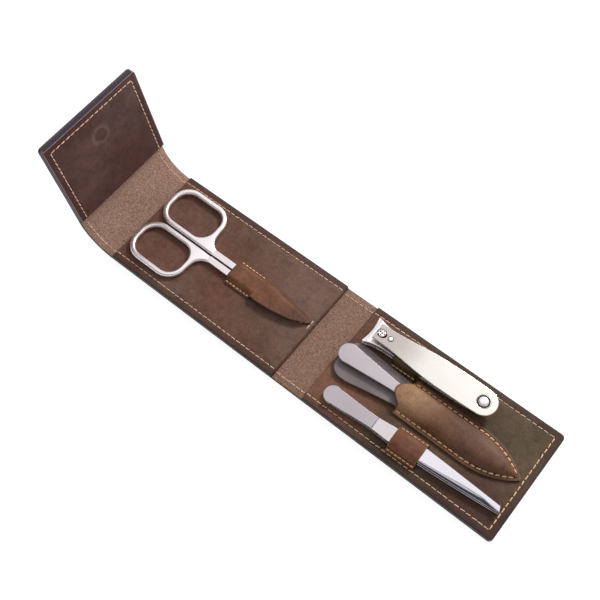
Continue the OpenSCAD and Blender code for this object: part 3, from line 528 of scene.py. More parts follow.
def shell(name, top, bottom, place, finish, body, node, rim, edge):
    """A closed sheet between two grids of points, with softened edges."""
    rows, columns = top.shape[:2]
    count = rows * columns
    at = np.arange(count).reshape(rows, columns)
    faces = []
    corners = (at[:-1, :-1], at[1:, :-1], at[1:, 1:], at[:-1, 1:])
    for a, b, c, d in zip(*(corner.ravel().tolist() for corner in corners)):
        faces += [(a, b, c, d), (a + count, d + count, c + count, b + count)]
    walk = np.concatenate([at[:, 0], at[-1, 1:], at[-2::-1, -1], at[0, -2:0:-1]]).tolist()
    faces += [(b, a, a + count, b + count) for a, b in zip(walk, walk[1:] + walk[:1])]
    points = np.concatenate([top.reshape(-1, 3), bottom.reshape(-1, 3)])
    thing = bpy.data.objects.new(name, raw_mesh(name, points, faces, rim=np.tile(rim.ravel(), 2)))
    bevel = thing.modifiers.new("soft_edge", "BEVEL")
    bevel.width, bevel.segments = edge, 2
    bevel.limit_method, bevel.angle_limit = "ANGLE", math.radians(40)
    even_normals(thing)
    return to_piece(name, bake(thing, place), [finish], body, node, 38)


def panel_outline(length, inset, free_end, at_fold):
    """Closed outline of a panel, drawn in by inset along its free sides and by at_fold at its folds."""
    low, high = at_fold, length - (inset if free_end else at_fold)
    half = CASE_HALF_W - inset
    points = []
    for x, y, start, free in ((high, -half, -90, free_end), (high, half, 0, free_end),
                              (low, half, 90, False), (low, -half, 180, False)):
        r = max(CORNER_R - inset, 0.25) if free else 0.05
        centre = (x - math.copysign(r, x - length / 2), y - math.copysign(r, y))
        points += arc(*centre, r, start, start + 90, 6)
        if start in (-90, 90):
            # two more points along the end, where the rim attribute stops growing
            points += [(x, math.copysign(half - 8, y)), (x, -math.copysign(half - 8, y))]
    return points


def slab(name, length, profile, place, finish, body, node, free_end, fold_gap):
    """A panel layer whose edge follows a profile of (inset, height) from below to above."""
    points = []
    for inset, z in profile:
        at_fold = fold_gap + FOLD_ROUND * max(z, 0) ** 3 / LEATHER_T ** 3 if fold_gap else 0
        points += [(x, y, z) for x, y in panel_outline(length, inset, free_end, at_fold)]
    rim = [min(CASE_HALF_W - abs(y), length - x if free_end else 99) for x, y, z in points]
    faces = tube_faces(len(profile), len(points) // len(profile))
    return to_piece(name, raw_mesh(name, points, faces, rim=rim, place=place), [finish], body, node, 30)


def arc(cx, cy, r, start, end, steps):
    """Points on an arc, angles in degrees."""
    angles = [math.radians(start + (end - start) * k / steps) for k in range(steps + 1)]
    return [(cx + r * math.cos(a), cy + r * math.sin(a)) for a in angles]


def rounded(cx, cy, length, width, r, steps=12):
    """A rectangle with round corners, as a closed loop."""
    x, y = length / 2 - r, width / 2 - r
    return [point for way_x, way_y, start in ((1, -1, -90), (1, 1, 0), (-1, 1, 90), (-1, -1, 180))
            for point in arc(cx + way_x * x, cy + way_y * y, r, start, start + 90, steps)]


def smooth_run(points, steps=6):
    """An open smooth line through points, by Catmull-Rom."""
    found, padded = [], [points[0]] + list(points) + [points[-1]]
    for a, b, c, d in zip(padded, padded[1:], padded[2:], padded[3:]):
        for k in range(steps):
            t = k / steps
            found.append(tuple(0.5 * (2 * q + (r - p) * t + (2 * p - 5 * q + 4 * r - s) * t * t
                                      + (3 * q - p - 3 * r + s) * t ** 3) for p, q, r, s in zip(a, b, c, d)))
    return found + [tuple(points[-1])]


def mirrored(half):
    """A closed loop from one half of an outline, at y > 0, from one end to the other."""
    return [(x, -y) for x, y in half if y > 1e-6] + [(x, y) for x, y in reversed(half)]


def plate(name, loops, bottom, top, edge, place, finish, body, node=None, cuts=(), bend=None, steps=3):
    """A plate with rounded edges, cut to closed outlines: the first outside, the rest holes. Cut across at
    the given x, each point can then be lifted by bend(x, y, z)."""
    curve = bpy.data.curves.new(name, "CURVE")
    curve.dimensions, curve.fill_mode = "2D", "BOTH"
    for loop in loops:
        line = curve.splines.new("POLY")
        line.points.add(len(loop) - 1)
        line.points.foreach_set("co", [c for x, y in loop for c in (x, y, 0, 1)])
        line.use_cyclic_u = True
    curve.extrude = (top - bottom) / 2 - edge
    curve.bevel_depth, curve.bevel_resolution, curve.offset = edge, steps, -edge
    mesh = bake(bpy.data.objects.new(name, curve),
                Matrix.Scale(1 / MM, 4) @ Matrix.Translation((0, 0, (top + bottom) / 2)))
    form = bmesh.new()
    form.from_mesh(mesh)
    bmesh.ops.remove_doubles(form, verts=form.verts, dist=1e-4)
    for x in cuts:
        bmesh.ops.bisect_plane(form, geom=form.verts[:] + form.edges[:] + form.faces[:], plane_co=(x, 0, 0),
                               plane_no=(1, 0, 0), dist=1e-4)
    if bend:
        for v in form.verts:
            v.co.z += bend(*v.co)
    bmesh.ops.recalc_face_normals(form, faces=form.faces)
    form.to_mesh(mesh)
    form.free()
    mesh.shade_smooth()
    mesh.set_sharp_from_angle(angle=math.radians(40))
    thing = bpy.data.objects.new(name, mesh)
    even_normals(thing)
    return to_piece(name, bake(thing, place), [finish], body, node, 40)


def turned(name, profile, at_x, place, finish, body, node=None):
    """A round part turned from a profile of (radius, height) about x = at_x, closed at both ends."""
    points = [(at_x + x, y, z) for r, z in profile for x, y in arc(0, 0, r, 0, 360, 40)[:-1]]
    mesh = raw_mesh(name, points, tube_faces(len(profile), 40), place=place)
    return to_piece(name, mesh, [finish], body, node, 35)


# ---------- Stitches ----------


def stitch_tree():
    """Sets an arched stitch on each point, with a needle hole after it: a flat dark disc of painted shade."""
    tree = bpy.data.node_groups.new("stitch_row", "GeometryNodeTree")
    face = tree.interface
    face.new_socket("Geometry", in_out="INPUT", socket_type="NodeSocketGeometry")
    for label in ("Stitch Length", "Thread Width", "Rise", "Pitch", "Hole Size"):
        face.new_socket(label, in_out="INPUT", socket_type="NodeSocketFloat")
    for label in ("Thread", "Hole"):
        face.new_socket(label, in_out="INPUT", socket_type="NodeSocketMaterial")
    face.new_socket("Geometry", in_out="OUTPUT", socket_type="NodeSocketGeometry")

    def node(kind, settings, *values, **named):
        return add_node(tree, kind, settings, *values, **named)[0]

    def times(a, b):
        return node("ShaderNodeMath", {"operation": "MULTIPLY"}, a, b)

    given = tree.nodes.new("NodeGroupInput").outputs
    half = times(given["Stitch Length"], 0.5)
    sunk = times(given["Thread Width"], -0.55)
    line = node("GeometryNodeCurvePrimitiveBezierSegment", {}, Resolution=9,
                Start=node("ShaderNodeCombineXYZ", {}, X=times(half, -1.0), Z=sunk),
                Start_Handle=node("ShaderNodeCombineXYZ", {}, X=times(half, -0.92), Z=given["Rise"]),
                End_Handle=node("ShaderNodeCombineXYZ", {}, X=times(half, 0.92), Z=given["Rise"]),
                End=node("ShaderNodeCombineXYZ", {}, X=half, Z=sunk))
    radius = times(given["Thread Width"], 0.5)
    section = node("GeometryNodeCurvePrimitiveCircle", {}, Resolution=8, Radius=radius)
    stitch = node("GeometryNodeCurveToMesh", {}, Curve=line, Profile_Curve=section, Fill_Caps=True)
    stitch = node("GeometryNodeSetMaterial", {}, Geometry=stitch, Material=given["Thread"])
    # The needle hole is a flat dark disc: painted shade.
    radius = times(given["Hole Size"], 0.5)
    hole = node("GeometryNodeMeshCylinder", {}, Vertices=12, Radius=radius, Depth=0.05)
    hole = node("GeometryNodeTransform", {}, Geometry=hole, Scale=(1.25, 0.8, 1.0))
    hole = node("GeometryNodeSetMaterial", {}, Geometry=hole, Material=given["Hole"])

    vector = {"data_type": "FLOAT_VECTOR"}
    along = node("GeometryNodeInputNamedAttribute", vector, Name="along")
    turn = node("FunctionNodeAlignRotationToVector", {"axis": "X"}, Vector=along)
    turn = node("FunctionNodeAlignRotationToVector", {"axis": "Z", "pivot_axis": "X"}, Rotation=turn,
                Vector=node("GeometryNodeInputNamedAttribute", vector, Name="up"))
    lean = node("FunctionNodeRandomValue", vector, Min=(-0.02, -0.03, -0.02), Max=(0.02, 0.03, 0.13), Seed=11)
    size = node("FunctionNodeRandomValue", vector, Min=(0.93, 0.88, 0.9), Max=(1.03, 1.08, 1.06), Seed=23)
    leaned = node("FunctionNodeRotateRotation", {"rotation_space": "LOCAL"}, Rotation=turn, Rotate_By=lean)
    sewn = node("GeometryNodeInstanceOnPoints", {}, Points=given["Geometry"], Instance=stitch,
                Rotation=leaned, Scale=size)
    half_pitch = node("ShaderNodeVectorMath", {"operation": "SCALE"}, along, Scale=times(given["Pitch"], 0.5))
    pricked = node("GeometryNodeInstanceOnPoints", {}, Instance=hole, Rotation=turn,
                   Points=node("GeometryNodeSetPosition", {}, Geometry=given["Geometry"], Offset=half_pitch))
    joined = tree.nodes.new("GeometryNodeJoinGeometry")
    tree.links.new(pricked, joined.inputs[0])
    tree.links.new(sewn, joined.inputs[0])
    solid = node("GeometryNodeRealizeInstances", {}, Geometry=joined.outputs[0])
    tree.links.new(solid, tree.nodes.new("NodeGroupOutput").inputs[0])
    return tree


STITCH_TREE = stitch_tree()
PITCH, SMALL_PITCH, POUCH_PITCH = 2.9, 2.15, 2.7
EDGE_STITCH, END_STITCH, SMALL_STITCH, POUCH_STITCH = [
    dict(zip(("Stitch Length", "Thread Width", "Rise", "Pitch", "Hole Size"), sizes)) for sizes in (
        (2.4, 0.4, 0.22, PITCH, 0.55), (2.3, 0.5, 0.26, PITCH, 0.8), (1.4, 0.56, 0.34, SMALL_PITCH, 0.95),
        (1.95, 0.66, 0.34, POUCH_PITCH, 1.15))]
STITCH_Y = CASE_HALF_W - STITCH_INSET


def stitches(name, spots, sizes, place, body, node, finish=thread):
    """Sews a stitch at each spot: (point, direction of the row, direction away from the leather)."""
    mesh = raw_mesh(name, [s[0] for s in spots], [])
    for k, label in ((1, "along"), (2, "up")):
        mesh.attributes.new(label, "FLOAT_VECTOR", "POINT").data.foreach_set(
            "vector", np.array([s[k] for s in spots], np.float32).ravel())
    thing = bpy.data.objects.new(name, mesh)
    sewing = thing.modifiers.new("sewing", "NODES")
    sewing.node_group = STITCH_TREE
    values = dict(sizes, Thread=finish.material, Hole=hole_shadow.material)
    for item in STITCH_TREE.interface.items_tree:
        if item.in_out == "INPUT" and item.name in values:
            sewing[item.identifier] = values[item.name]
    return to_piece(name, bake(thing, place), [finish], body, node, 50)


def row(start, end, pitch, up=(0, 0, 1)):
    """Stitch spots that fill the run from start to end."""
    start, end = Vector(start), Vector(end)
    run, along = (end - start).length, (end - start).normalized()
    count = max(1, round(run / pitch))
    return [(start + along * run * (i + 0.5) / count, along, up) for i in range(count)]


# ---------- Case panels ----------

# Edge profiles of (inset, height), the height from the outer leather's inner side
OUTER_PROFILE = [(0.5, -LEATHER_T), (0.18, -LEATHER_T + 0.08), (0.04, -LEATHER_T + 0.3), (0, -0.35),
                 (0.06, -0.1), (0.25, 0)]
LINING_PROFILE = [(0.35, 0), (0.12, 0.1), (0.04, 0.3), (0.03, 1.7), (0.08, 1.93), (0.22, 2.07), (0.5, 2.13),
                  (1.6, 2.15), (2.8, 2.14), (3.1, 2.08), (3.4, 2.05), (3.7, 2.08), (4.1, 2.15), (5.2, 2.19),
                  (6.2, RAISED_T)]
SEAM_Z = 2.05
OUTSIDE_Z = 0.27 - LEATHER_T
ROW_MARGIN = 0.8


def side_rows(length, free_end, z=SEAM_Z, up=(0, 0, 1)):
    """Stitch spots along both sides of a panel."""
    last = length - (STITCH_INSET if free_end else ROW_MARGIN)
    return [s for side in (-1, 1)
            for s in row((ROW_MARGIN, side * STITCH_Y, z), (last, side * STITCH_Y, z), PITCH, up)]


def end_row(length, z=SEAM_Z, up=(0, 0, 1)):
    return row((length - STITCH_INSET, -STITCH_Y, z), (length - STITCH_INSET, STITCH_Y, z), PITCH, up)


def panel(name, length, place, lining, free_end, outer=outer_leather):
    """A panel's outer leather and lining, and the stitches that show on each."""
    slab(name + "_outer_skin", length, OUTER_PROFILE, place, outer, name, name + "_outer_leather", free_end,
         0)
    slab(name + "_lining_skin", length, LINING_PROFILE, place, lining, name, name + "_lining", free_end,
         FOLD_GAP)
    stitches(name + "_side_thread", side_rows(length, free_end), EDGE_STITCH, place, name,
             name + "_stitching")
    below = (OUTSIDE_Z, (0, 0, -1))
    outside = side_rows(length, free_end, *below) + (end_row(length, *below) if free_end else [])
    stitches(name + "_outside_thread", outside, EDGE_STITCH, place, name, None)


panel("base", PANEL_LEN, BASE, lining_base, True)
panel("cover", COVER_LEN, COVER, lining_cover, False)
panel("flap", FLAP_LEN, FLAP, lining_flap, True, outer_flap_painted_edge_light)
stitches("base_end_thread", end_row(PANEL_LEN), END_STITCH, BASE, "base", "base_stitching", small_thread)
stitches("flap_end_thread", end_row(FLAP_LEN), EDGE_STITCH, FLAP, "flap", "flap_stitching")

# ---------- Spine and gusset: one strip of leather ---------------------


def strip(name, stations, body, node):
    """A strip swept over stations of (x, z, outward x, outward z): suede inside, leather outside."""
    half = [(CASE_HALF_W - inset, -height) for inset, height in reversed(OUTER_PROFILE)]
    inner = [(y, 0) for y in np.linspace(-half[0][0], half[0][0], 15)]
    outer = [(y, LEATHER_T) for y in np.linspace(half[-1][0], -half[-1][0], 9)]
    section = inner + half[1:-1] + outer + [(-y, depth) for y, depth in reversed(half[1:-1])]
    points = [(x + depth * ox, y, z + depth * oz) for x, z, ox, oz in stations for y, depth in section]
    faces = tube_faces(len(stations), len(section))
    indices = [0 if k < len(inner) - 1 else 1 for _ in stations[1:] for k in range(len(section))] + [1, 1]
    rim = [CASE_HALF_W - abs(y) for _ in stations for y, depth in section]
    mesh = face_out(raw_mesh(name, points, faces, indices, rim))
    mesh.transform(Matrix.Scale(MM, 4))
    return to_piece(name, mesh, [suede_side, outer_leather], body, node, 50)


def spine_station(x):
    return (x, LEATHER_T, 0.0, -1.0)


def gusset_station(run):
    """A place on the gusset's inner side, at a run from the cover's end: an arc, then a short flat."""
    angle = min(run / GUSSET_R, FLAP_ANGLE)
    flat = run - angle * GUSSET_R
    out_x, out_z = -math.sin(angle), -math.cos(angle)
    return (GUSSET_AT.x + GUSSET_R * out_x + flat * out_z,
            GUSSET_AT.z + GUSSET_R + GUSSET_R * out_z - flat * out_x, out_x, out_z)


def strip_spots(stations, depth=0.0, way=-1):
    """A stitch on both sides at each station, at a depth in the leather. It faces in (-1) or out (1)."""
    return [((x + depth * ox, side * STITCH_Y, z + depth * oz), (-oz, 0, ox), (way * ox, 0, way * oz))
            for side in (-1, 1) for x, z, ox, oz in stations]


def sewn_strip(part, number, stations, spots, body):
    """One length of the strip with its stitches, inside and outside."""
    strip(f"{part}_strip_{number}", stations, body, f"{part}_leather")
    stitches(f"{part}_thread_{number}", strip_spots(spots), EDGE_STITCH, Matrix(), body, f"{part}_stitching")
    outside = strip_spots(spots, -OUTSIDE_Z, 1)
    stitches(f"{part}_outside_thread_{number}", outside, EDGE_STITCH, Matrix(), body, None)


# The spine lies flat, with its stations close together near both ends
FOLD_RUN = 2.6
SPINE_LEN = SPINE_AT.x - COVER_AT.x
spine_runs = np.concatenate([np.linspace(0, FOLD_RUN, 12), np.linspace(FOLD_RUN, SPINE_LEN / 2, 4)[1:]])
stitch_runs = [SPINE_LEN / 6 * (k + 0.5) for k in range(3)]
for number, hinge, way, panel_body in ((1, SPINE_AT, -1, "base"), (2, COVER_AT, 1, "cover")):
    sewn_strip("spine", number, [spine_station(hinge.x + way * run) for run in spine_runs],
               [spine_station(hinge.x + way * run) for run in stitch_runs],
               (panel_body, "spine", hinge, hinge + Vector((way * FOLD_RUN, 0, 0))))

# The gusset is an arc from the cover, then a short flat end up to the flap
GUSSET_ARC = GUSSET_R * FLAP_ANGLE
GUSSET_LEN = GUSSET_ARC + GUSSET_FLAT
BEND_ANGLE = math.radians(75)
BEND_WAY = Vector((-math.cos(BEND_ANGLE), 0, math.sin(BEND_ANGLE)))
arc_x, arc_z = gusset_station(GUSSET_ARC)[:2]
arc_end = Vector((arc_x, 0, arc_z))
bend_end = GUSSET_AT + BEND_WAY * (arc_end - GUSSET_AT).dot(BEND_WAY)
arc_spots = [GUSSET_ARC * (k + 0.5) / 8 for k in range(8)]
sewn_strip("gusset", 1, [gusset_station(s) for s in np.linspace(0, GUSSET_ARC, 33)],
           [gusset_station(s) for s in arc_spots], ("cover", "gusset", GUSSET_AT, bend_end))
sewn_strip("gusset", 2, [gusset_station(s) for s in np.linspace(GUSSET_ARC, GUSSET_LEN, 12)],
           [gusset_station(GUSSET_ARC + GUSSET_FLAT / 2)], ("gusset", "flap", arc_end, FLAP_AT))

# ---------- Straps ----------

STRAP_T = 0.9
STRAP_FOOT = 1.6


def offset_path(path, distance):
    """The path moved sideways, to its right, by distance."""
    path = np.array(path, float)
    way = np.gradient(path, axis=0)
    way /= np.linalg.norm(way, axis=1)[:, None]
    return path + np.stack([way[:, 1], -way[:, 0]], axis=1) * distance


def strap_rows(start, end, y, z=STRAP_T, middle=0):
    """Stitch spots along both feet of a band."""
    return [s for side in (-1, 1) for s in row((start + 0.2, middle + side * y, z),
                                               (end - 0.2, middle + side * y, z), SMALL_PITCH)]


def strap(tool, place, start, end, half_w, height, lean, seam_y, finish):
    """A band bent over a tool: stitched feet and a bridge. lean lowers its shoulders."""
    top, wall, foot = height + STRAP_T, half_w + STRAP_T, half_w + STRAP_T + STRAP_FOOT
    right = smooth_run([(0, top), (half_w * 0.5, top - lean * 0.25), (half_w * 0.86, top - lean),
                        (wall - 0.05, top - lean - 1.1), (wall + 0.02, (top + STRAP_T) / 2 - 0.5),
                        (wall + 0.25, STRAP_T + 0.32), (wall + 0.8, STRAP_T + 0.03), (foot, STRAP_T)], 5)
    over = [(-y, z) for y, z in reversed(right[1:])] + right
    under = offset_path(over, STRAP_T)
    under[:, 1] = np.maximum(under[:, 1], 0.02)
    xs = np.linspace(start, end, 9)
    outside, inside = (np.array([[(x, y, z) for y, z in path] for x in xs]) for path in (over, under))
    rim = np.array([[min(x - start, end - x, foot - abs(y)) for y, z in over] for x in xs])
    shell(f"{tool}_strap_band", outside, inside, place, finish, "base", f"{tool}_strap", rim, 0.18)
    stitches(f"{tool}_strap_thread", strap_rows(start, end, seam_y), SMALL_STITCH, place, "base",
             f"{tool}_strap_stitching", small_thread)


strap("clipper", CLIPPER, 16.2, 29.2, 5.3, 5.8, 0.5, 7.1, strap_olive)
strap("tweezers", TWEEZERS, 36.2, 50.6, 4.0, 4.6, 0.55, 5.7, strap_red)

# ---------- File pouch ----------

POUCH_LEN, POUCH_HALF_W, POUCH_STRAIGHT = 59.5, 9.4, 35.5
POUCH_T, POUCH_TOP, POUCH_SEAM = 1.2, 6.4, 2.15
SEAM_INSET, TIP_R = 1.7, 1.2
MOUTH_BULGE = 4.9


def ease(t):
    t = np.clip(t, 0, 1)
    return t * t * (3 - 2 * t)


def leaf_half(x, inset=0.0):
    """Half width of the leaf-shaped pouch, drawn in by inset."""
    half, tip = POUCH_HALF_W - inset, POUCH_LEN + 0.5 - POUCH_STRAIGHT - inset * 1.2
    r = (half * half + tip * tip) / (2 * half)
    s = np.maximum(x - POUCH_STRAIGHT, 0)
    leaf = np.sqrt(np.maximum(r * r - s * s, 0)) - (r - half)
    into_tip = x - (POUCH_LEN - TIP_R - inset * 1.2)
    return np.where(into_tip > 0, np.minimum(leaf, np.sqrt(np.maximum(TIP_R ** 2 - into_tip ** 2, 0))), leaf)


def pouch_body():
    rows, columns = 54, 41
    run = np.concatenate([np.linspace(0, 8, 12)[:-1], np.linspace(8, POUCH_LEN - 1.4, rows - 16),
                          POUCH_LEN - np.array([1.0, 0.6, 0.3, 0.12, 0.03])])
    across = np.sin(np.linspace(-1, 1, columns) * math.pi / 2 * 0.92) / math.sin(math.pi / 2 * 0.92)
    x, v = np.meshgrid(run, across, indexing="ij")
    half = np.maximum(leaf_half(x), 0.12)
    y = v * half
    slope = np.where(x > POUCH_STRAIGHT, np.clip((x - POUCH_STRAIGHT) / 35, 0, 1), 0)
    from_edge = (half - np.abs(y)) * np.cos(slope)
    inner_half = np.maximum(half - POUCH_SEAM, 0.05)
    across_body = np.clip(np.abs(y) / inner_half, 0, 1)
    dome = (1 - across_body ** 2.6) ** 0.62
    length_fall = np.sqrt(1 - np.clip((x - 44) / 13.2, 0, 1) ** 2.4)
    swell = (1 - 0.07 * ease((x - 12) / 26)) * length_fall
    puckers = 0.08 * np.sin(x * 2 * math.pi / POUCH_PITCH) * np.exp(-((from_edge - 2.9) / 0.6) ** 2)
    welt = 0.12 * np.exp(-((from_edge - 0.8) / 0.5) ** 2)
    welt = welt - 0.12 * np.exp(-((from_edge - SEAM_INSET) / 0.4) ** 2)
    top = POUCH_T + (POUCH_TOP - POUCH_T) * dome * swell + welt + puckers
    bottom = np.maximum(top - POUCH_T * (1 - 0.5 * ease((x - 6) / 6)), 0.02)
    lip = np.clip(1 - (y / 5.6) ** 2, 0, 1)
    forward = MOUTH_BULGE * lip * np.clip(1 - x / 8, 0, 1) ** 1.5
    curl = 0.9 * lip * np.clip(1 - x / 5, 0, 1) ** 2
    shell("file_pouch_leaf", np.stack([x - forward, y, top - curl], axis=2),
          np.stack([x - forward, y, np.maximum(bottom - curl, 0.02)], axis=2), POUCH, pouch_leather, "base",
          "file_pouch", np.minimum(from_edge, x), 0.25)


pouch_body()


def pouch_seam_spots():
    """Stitches along both sides of the leaf, then round its two curves to the point."""
    spots, inset, step = [], SEAM_INSET, 0.02
    for side in (-1, 1):
        xs = np.arange(0.6, POUCH_LEN - inset * 1.6, step)
        ys = leaf_half(xs, inset)
        runs = np.concatenate([[0], np.cumsum(np.hypot(np.diff(xs), np.diff(ys)))])
        count = int(runs[-1] / POUCH_PITCH)
        for k in range(count):
            i = int(np.searchsorted(runs, (k + 0.5) * runs[-1] / count))
            along = Vector((xs[i + 1] - xs[i - 1], side * (ys[i + 1] - ys[i - 1]), 0)).normalized()
            spots.append(((xs[i], side * ys[i], POUCH_T - 0.07), along, (0, 0, 1)))
    return spots


stitches("file_pouch_thread", pouch_seam_spots(), POUCH_STITCH, POUCH, "base", "file_pouch_stitching",
         small_thread)

# ---------- Scissors sheath: a stitched band and a curved tongue ----------

BAND_LEN, BAND_MID_Y, TONGUE_END = 14.6, 0.65, 45.2
NEAR_EDGE = [(0, -6.3), (BAND_LEN - 0.7, -6.3), (15.0, -6.0), (15.8, -5.5), (18.5, -5.8), (25.1, -5.35),
             (32.1, -4.3), (37.8, -2.9), (41.5, -1.1), (44.1, 0.5), (TONGUE_END, 1.7)]
FAR_EDGE = [(0, 7.6), (BAND_LEN - 0.6, 7.6), (16.5, 7.6), (22.2, 7.3), (32.2, 5.8), (38, 4.9), (41.9, 4.3),
            (44.1, 3.6), (TONGUE_END, 2.4)]


def sheath_body():
    xs = np.concatenate([np.linspace(0, BAND_LEN, 12), np.linspace(BAND_LEN, TONGUE_END, 34)[1:]])
    near, far = (np.array([np.interp(x, *zip(*smooth_run(edge))) for x in xs])
                 for edge in (NEAR_EDGE, FAR_EDGE))
    share = (1 - np.cos(np.linspace(0, math.pi, 33))) / 2 * 0.7 + np.linspace(0, 1, 33) * 0.3
    x = np.repeat(xs[:, None], 33, axis=1)
    y = near[:, None] + (far - near)[:, None] * share[None, :]
    band = 1 - ease((x - BAND_LEN + 0.6) / 1.8)
    side = np.abs(y - BAND_MID_Y)
    arched = STRAP_T + 2.85 * (1 - (1 - np.clip((5.35 - side) / 2.2, 0, 1)) ** 2.0)
    depth = y - near[:, None]
    width = (far - near)[:, None]
    near_z = 3.55 - 0.25 * ease((x - 30) / 10) - 2.0 * ease((x - 40.5) / 4.7)
    far_z = STRAP_T * (1 - 0.65 * ease((x - BAND_LEN) / 8))
    blade_y = 3.9 - (x - BAND_LEN) * 0.09
    over = far_z + (near_z - far_z) * (1 - ease((y - blade_y) / (far[:, None] - blade_y)))
    top = band * arched + (1 - band) * over
    thick = STRAP_T * (1 - 0.6 * (1 - band) * ease((depth / width - 0.6) / 0.4)) * (1 - 0.45 * (1 - band))
    bottom = np.maximum(top - thick, 0.02)
    rim = np.minimum(np.minimum(depth, x), (far[:, None] - y) * np.where(x < BAND_LEN + 1, 1, 0.3))
    shell("scissors_sheath_tongue", np.stack([x, y, top], axis=2), np.stack([x, y, bottom], axis=2), SHEATH,
          sheath_leather, "cover", "scissors_sheath", rim, 0.2)


sheath_body()
stitches("scissors_sheath_thread", strap_rows(0, BAND_LEN, 5.95, STRAP_T - 0.02, BAND_MID_Y), SMALL_STITCH,
         SHEATH, "cover", "scissors_sheath_stitching", small_thread)
stitches("sheath_tip_thread", row((45.5, -1.2, 0.05), (45.5, 4.2, 0.05), 2.6), EDGE_STITCH, SHEATH, "cover",
         "scissors_sheath_stitching")

# ---------- Scissors ----------

HANDLE_T, BLADE_T, BLADE_LEN, SHANK_W, HALF_GAP = 2.8, 1.1, 28, 3.2, 0.4
LOOP_X, LOOP_Y, LOOP_HOLE = -48.6, 11.65, (27, 17.3, 7)
LOOP_BAR, WEB_X, HEEL_X = 2.6, -27.0, -5.2


def handle_outline():
    """Outline of the far loop with its web, which runs in a curve into the shank."""
    long, wide = LOOP_HOLE[0] + 2 * LOOP_BAR, LOOP_HOLE[1] + 2 * LOOP_BAR
    r = LOOP_HOLE[2] + LOOP_BAR
    x, y = long / 2 - r, wide / 2 - r
    flare = smooth_run([(-22.5, 1.4), (-22.5, 2.9), (-25.6, 3.55), (-28.2, 4.15), (-30.3, 5.5), (-31.9, 8.0),
                        (LOOP_X + long / 2, LOOP_Y + 0.6)], 6)
    return ([(LOOP_X - x, HALF_GAP), (WEB_X, HALF_GAP), (-24.0, 0.7)] + flare
            + arc(LOOP_X + x, LOOP_Y + y, r, 0, 90, 12) + arc(LOOP_X - x, LOOP_Y + y, r, 90, 180, 12)
            + arc(LOOP_X - x, LOOP_Y - y, r, 180, 270, 12)[:-1])


def blade_outline():
    back = smooth_run([(0, SHANK_W), (7, 2.95), (BLADE_LEN / 2, 2.3), (21, 1.5), (BLADE_LEN, 0.5)], 5)
    edge = smooth_run([(BLADE_LEN, 0.5), (21, -0.6), (BLADE_LEN / 2, -1.75), (7, -2.6), (0, -SHANK_W)], 5)
    heel = arc(0, 0, SHANK_W + HALF_GAP, -110, -180, 6) + [(HEEL_X, HALF_GAP), (HEEL_X, SHANK_W + HALF_GAP)]
    return back + edge[1:] + heel + arc(0, 0, SHANK_W + HALF_GAP, 110, 90, 3)


def thinned(x, y, z):
    """The web's top comes down to the shank."""
    return -0.78 * float(ease((x + 34) / 9)) if z > HANDLE_T / 2 else 0.0


def scissors_half(side, body, blade_z, node):
    """A loop with its web, a shank and a blade: the far half (side 1) or its mirror image (-1)."""
    def own(loop):
        return [(x, side * y) for x, y in loop][::side]
    half = "scissors_far" if side > 0 else "scissors_near"
    hole = rounded(LOOP_X, LOOP_Y, *LOOP_HOLE)
    plate(half + "_loop", [own(handle_outline()), own(hole)], 0, HANDLE_T, 1.0, SCISSORS, satin, body, node,
          np.arange(-35, -22.5, 0.75), thinned, 5)
    shank = [(-31.5, 2.0), (WEB_X, HALF_GAP), (HEEL_X, HALF_GAP), (HEEL_X, SHANK_W + HALF_GAP),
             (WEB_X, SHANK_W + HALF_GAP)]
    plate(half + "_shank", [own(shank)], 0, 2 * BLADE_T, 0.22, SCISSORS, shank_steel, body, node)
    plate(half + "_blade", [own(blade_outline())], blade_z, blade_z + BLADE_T - 0.05, 0.12, SCISSORS, satin,
          body, node)


scissors_half(1, "scissors_far", BLADE_T + 0.05, "scissors_far_half")
scissors_half(-1, "scissors", 0, "scissors_near_half")
turned("scissors_screw_head", [
    (1.2, 0.05), (1.2, 1.8), (2.1, 1.8), (2.1, 2.1), (1.95, 2.22), (1.2, 2.26), (0.9, 2.26), (0.75, 2.05),
    (0.1, 2.02)], 0, SCISSORS, mirror, "scissors", "scissors_pivot_screw")
plate("scissors_screw_slot", [rounded(0, 0, 3.0, 0.6, 0.12, 3)], 2.22, 2.3, 0.03, SCISSORS, ground_steel,
      "scissors")

# ---------- Clipper ----------

TAIL_X, TAIL_R, PIN_X, DIMPLE_X, STUD_X, LEVER_R = 57.9, 4.1, 57, 4.6, 52.9, 6.3
# Half widths along the arms and the lever
ARM_HALF = [(0.2, 6.9), (1.0, 6.85), (2.0, 6.5), (3.6, 5.95), (6, 5.45), (9, 5.05), (14, 4.9), (30, 4.9),
            (46, 4.9), (52, 4.6), (TAIL_X, TAIL_R)]
LEVER_HALF = [(-2.7, 4.1), (0, 4.15), (5, 4.3), (9, 4.6), (14, 5.1), (22, 6.0), (28, 6.4), (34, 6.6),
              (44, 6.6), (48.5, 6.5), (STUD_X, LEVER_R)]
FRONT_R, FRONT_HOLLOW = 26, 0.9


def long_outline(halves, middle):
    """Both sides of an arm or a lever, and what joins them at its far end."""
    sides = smooth_run(halves, 3)
    return sides + middle[1:-1] + [(x, -y) for x, y in reversed(sides)]


def run_through(points):
    """A height over x, straight between points."""
    return lambda x: float(np.interp(x, *zip(*points)))


lower_run = run_through([(0, 0.9), (12, 0.9), (22, 0.15), (45, 0.15), (62, 0.5)])
upper_run = run_through([(0, 4.3), (16.2, 4.3), (29, 3.9), (45, 2.9), (54, 1.9), (62, 1.9)])
ARM_T = 1.1
ARM_CUTS = list(np.arange(0.6, 3.0, 0.4)) + list(np.arange(4, 62, 2.0))


def jaw_bend(run, lip_x, lip_run, top_lip, low_lip):
    """Bends an arm to its run of heights, with a lip at the jaws on its top and on its underside."""
    def bend(x, y, z):
        return run(x) + (top_lip if z > ARM_T / 2 else low_lip) * float(ease((lip_x - x) / lip_run))
    return bend


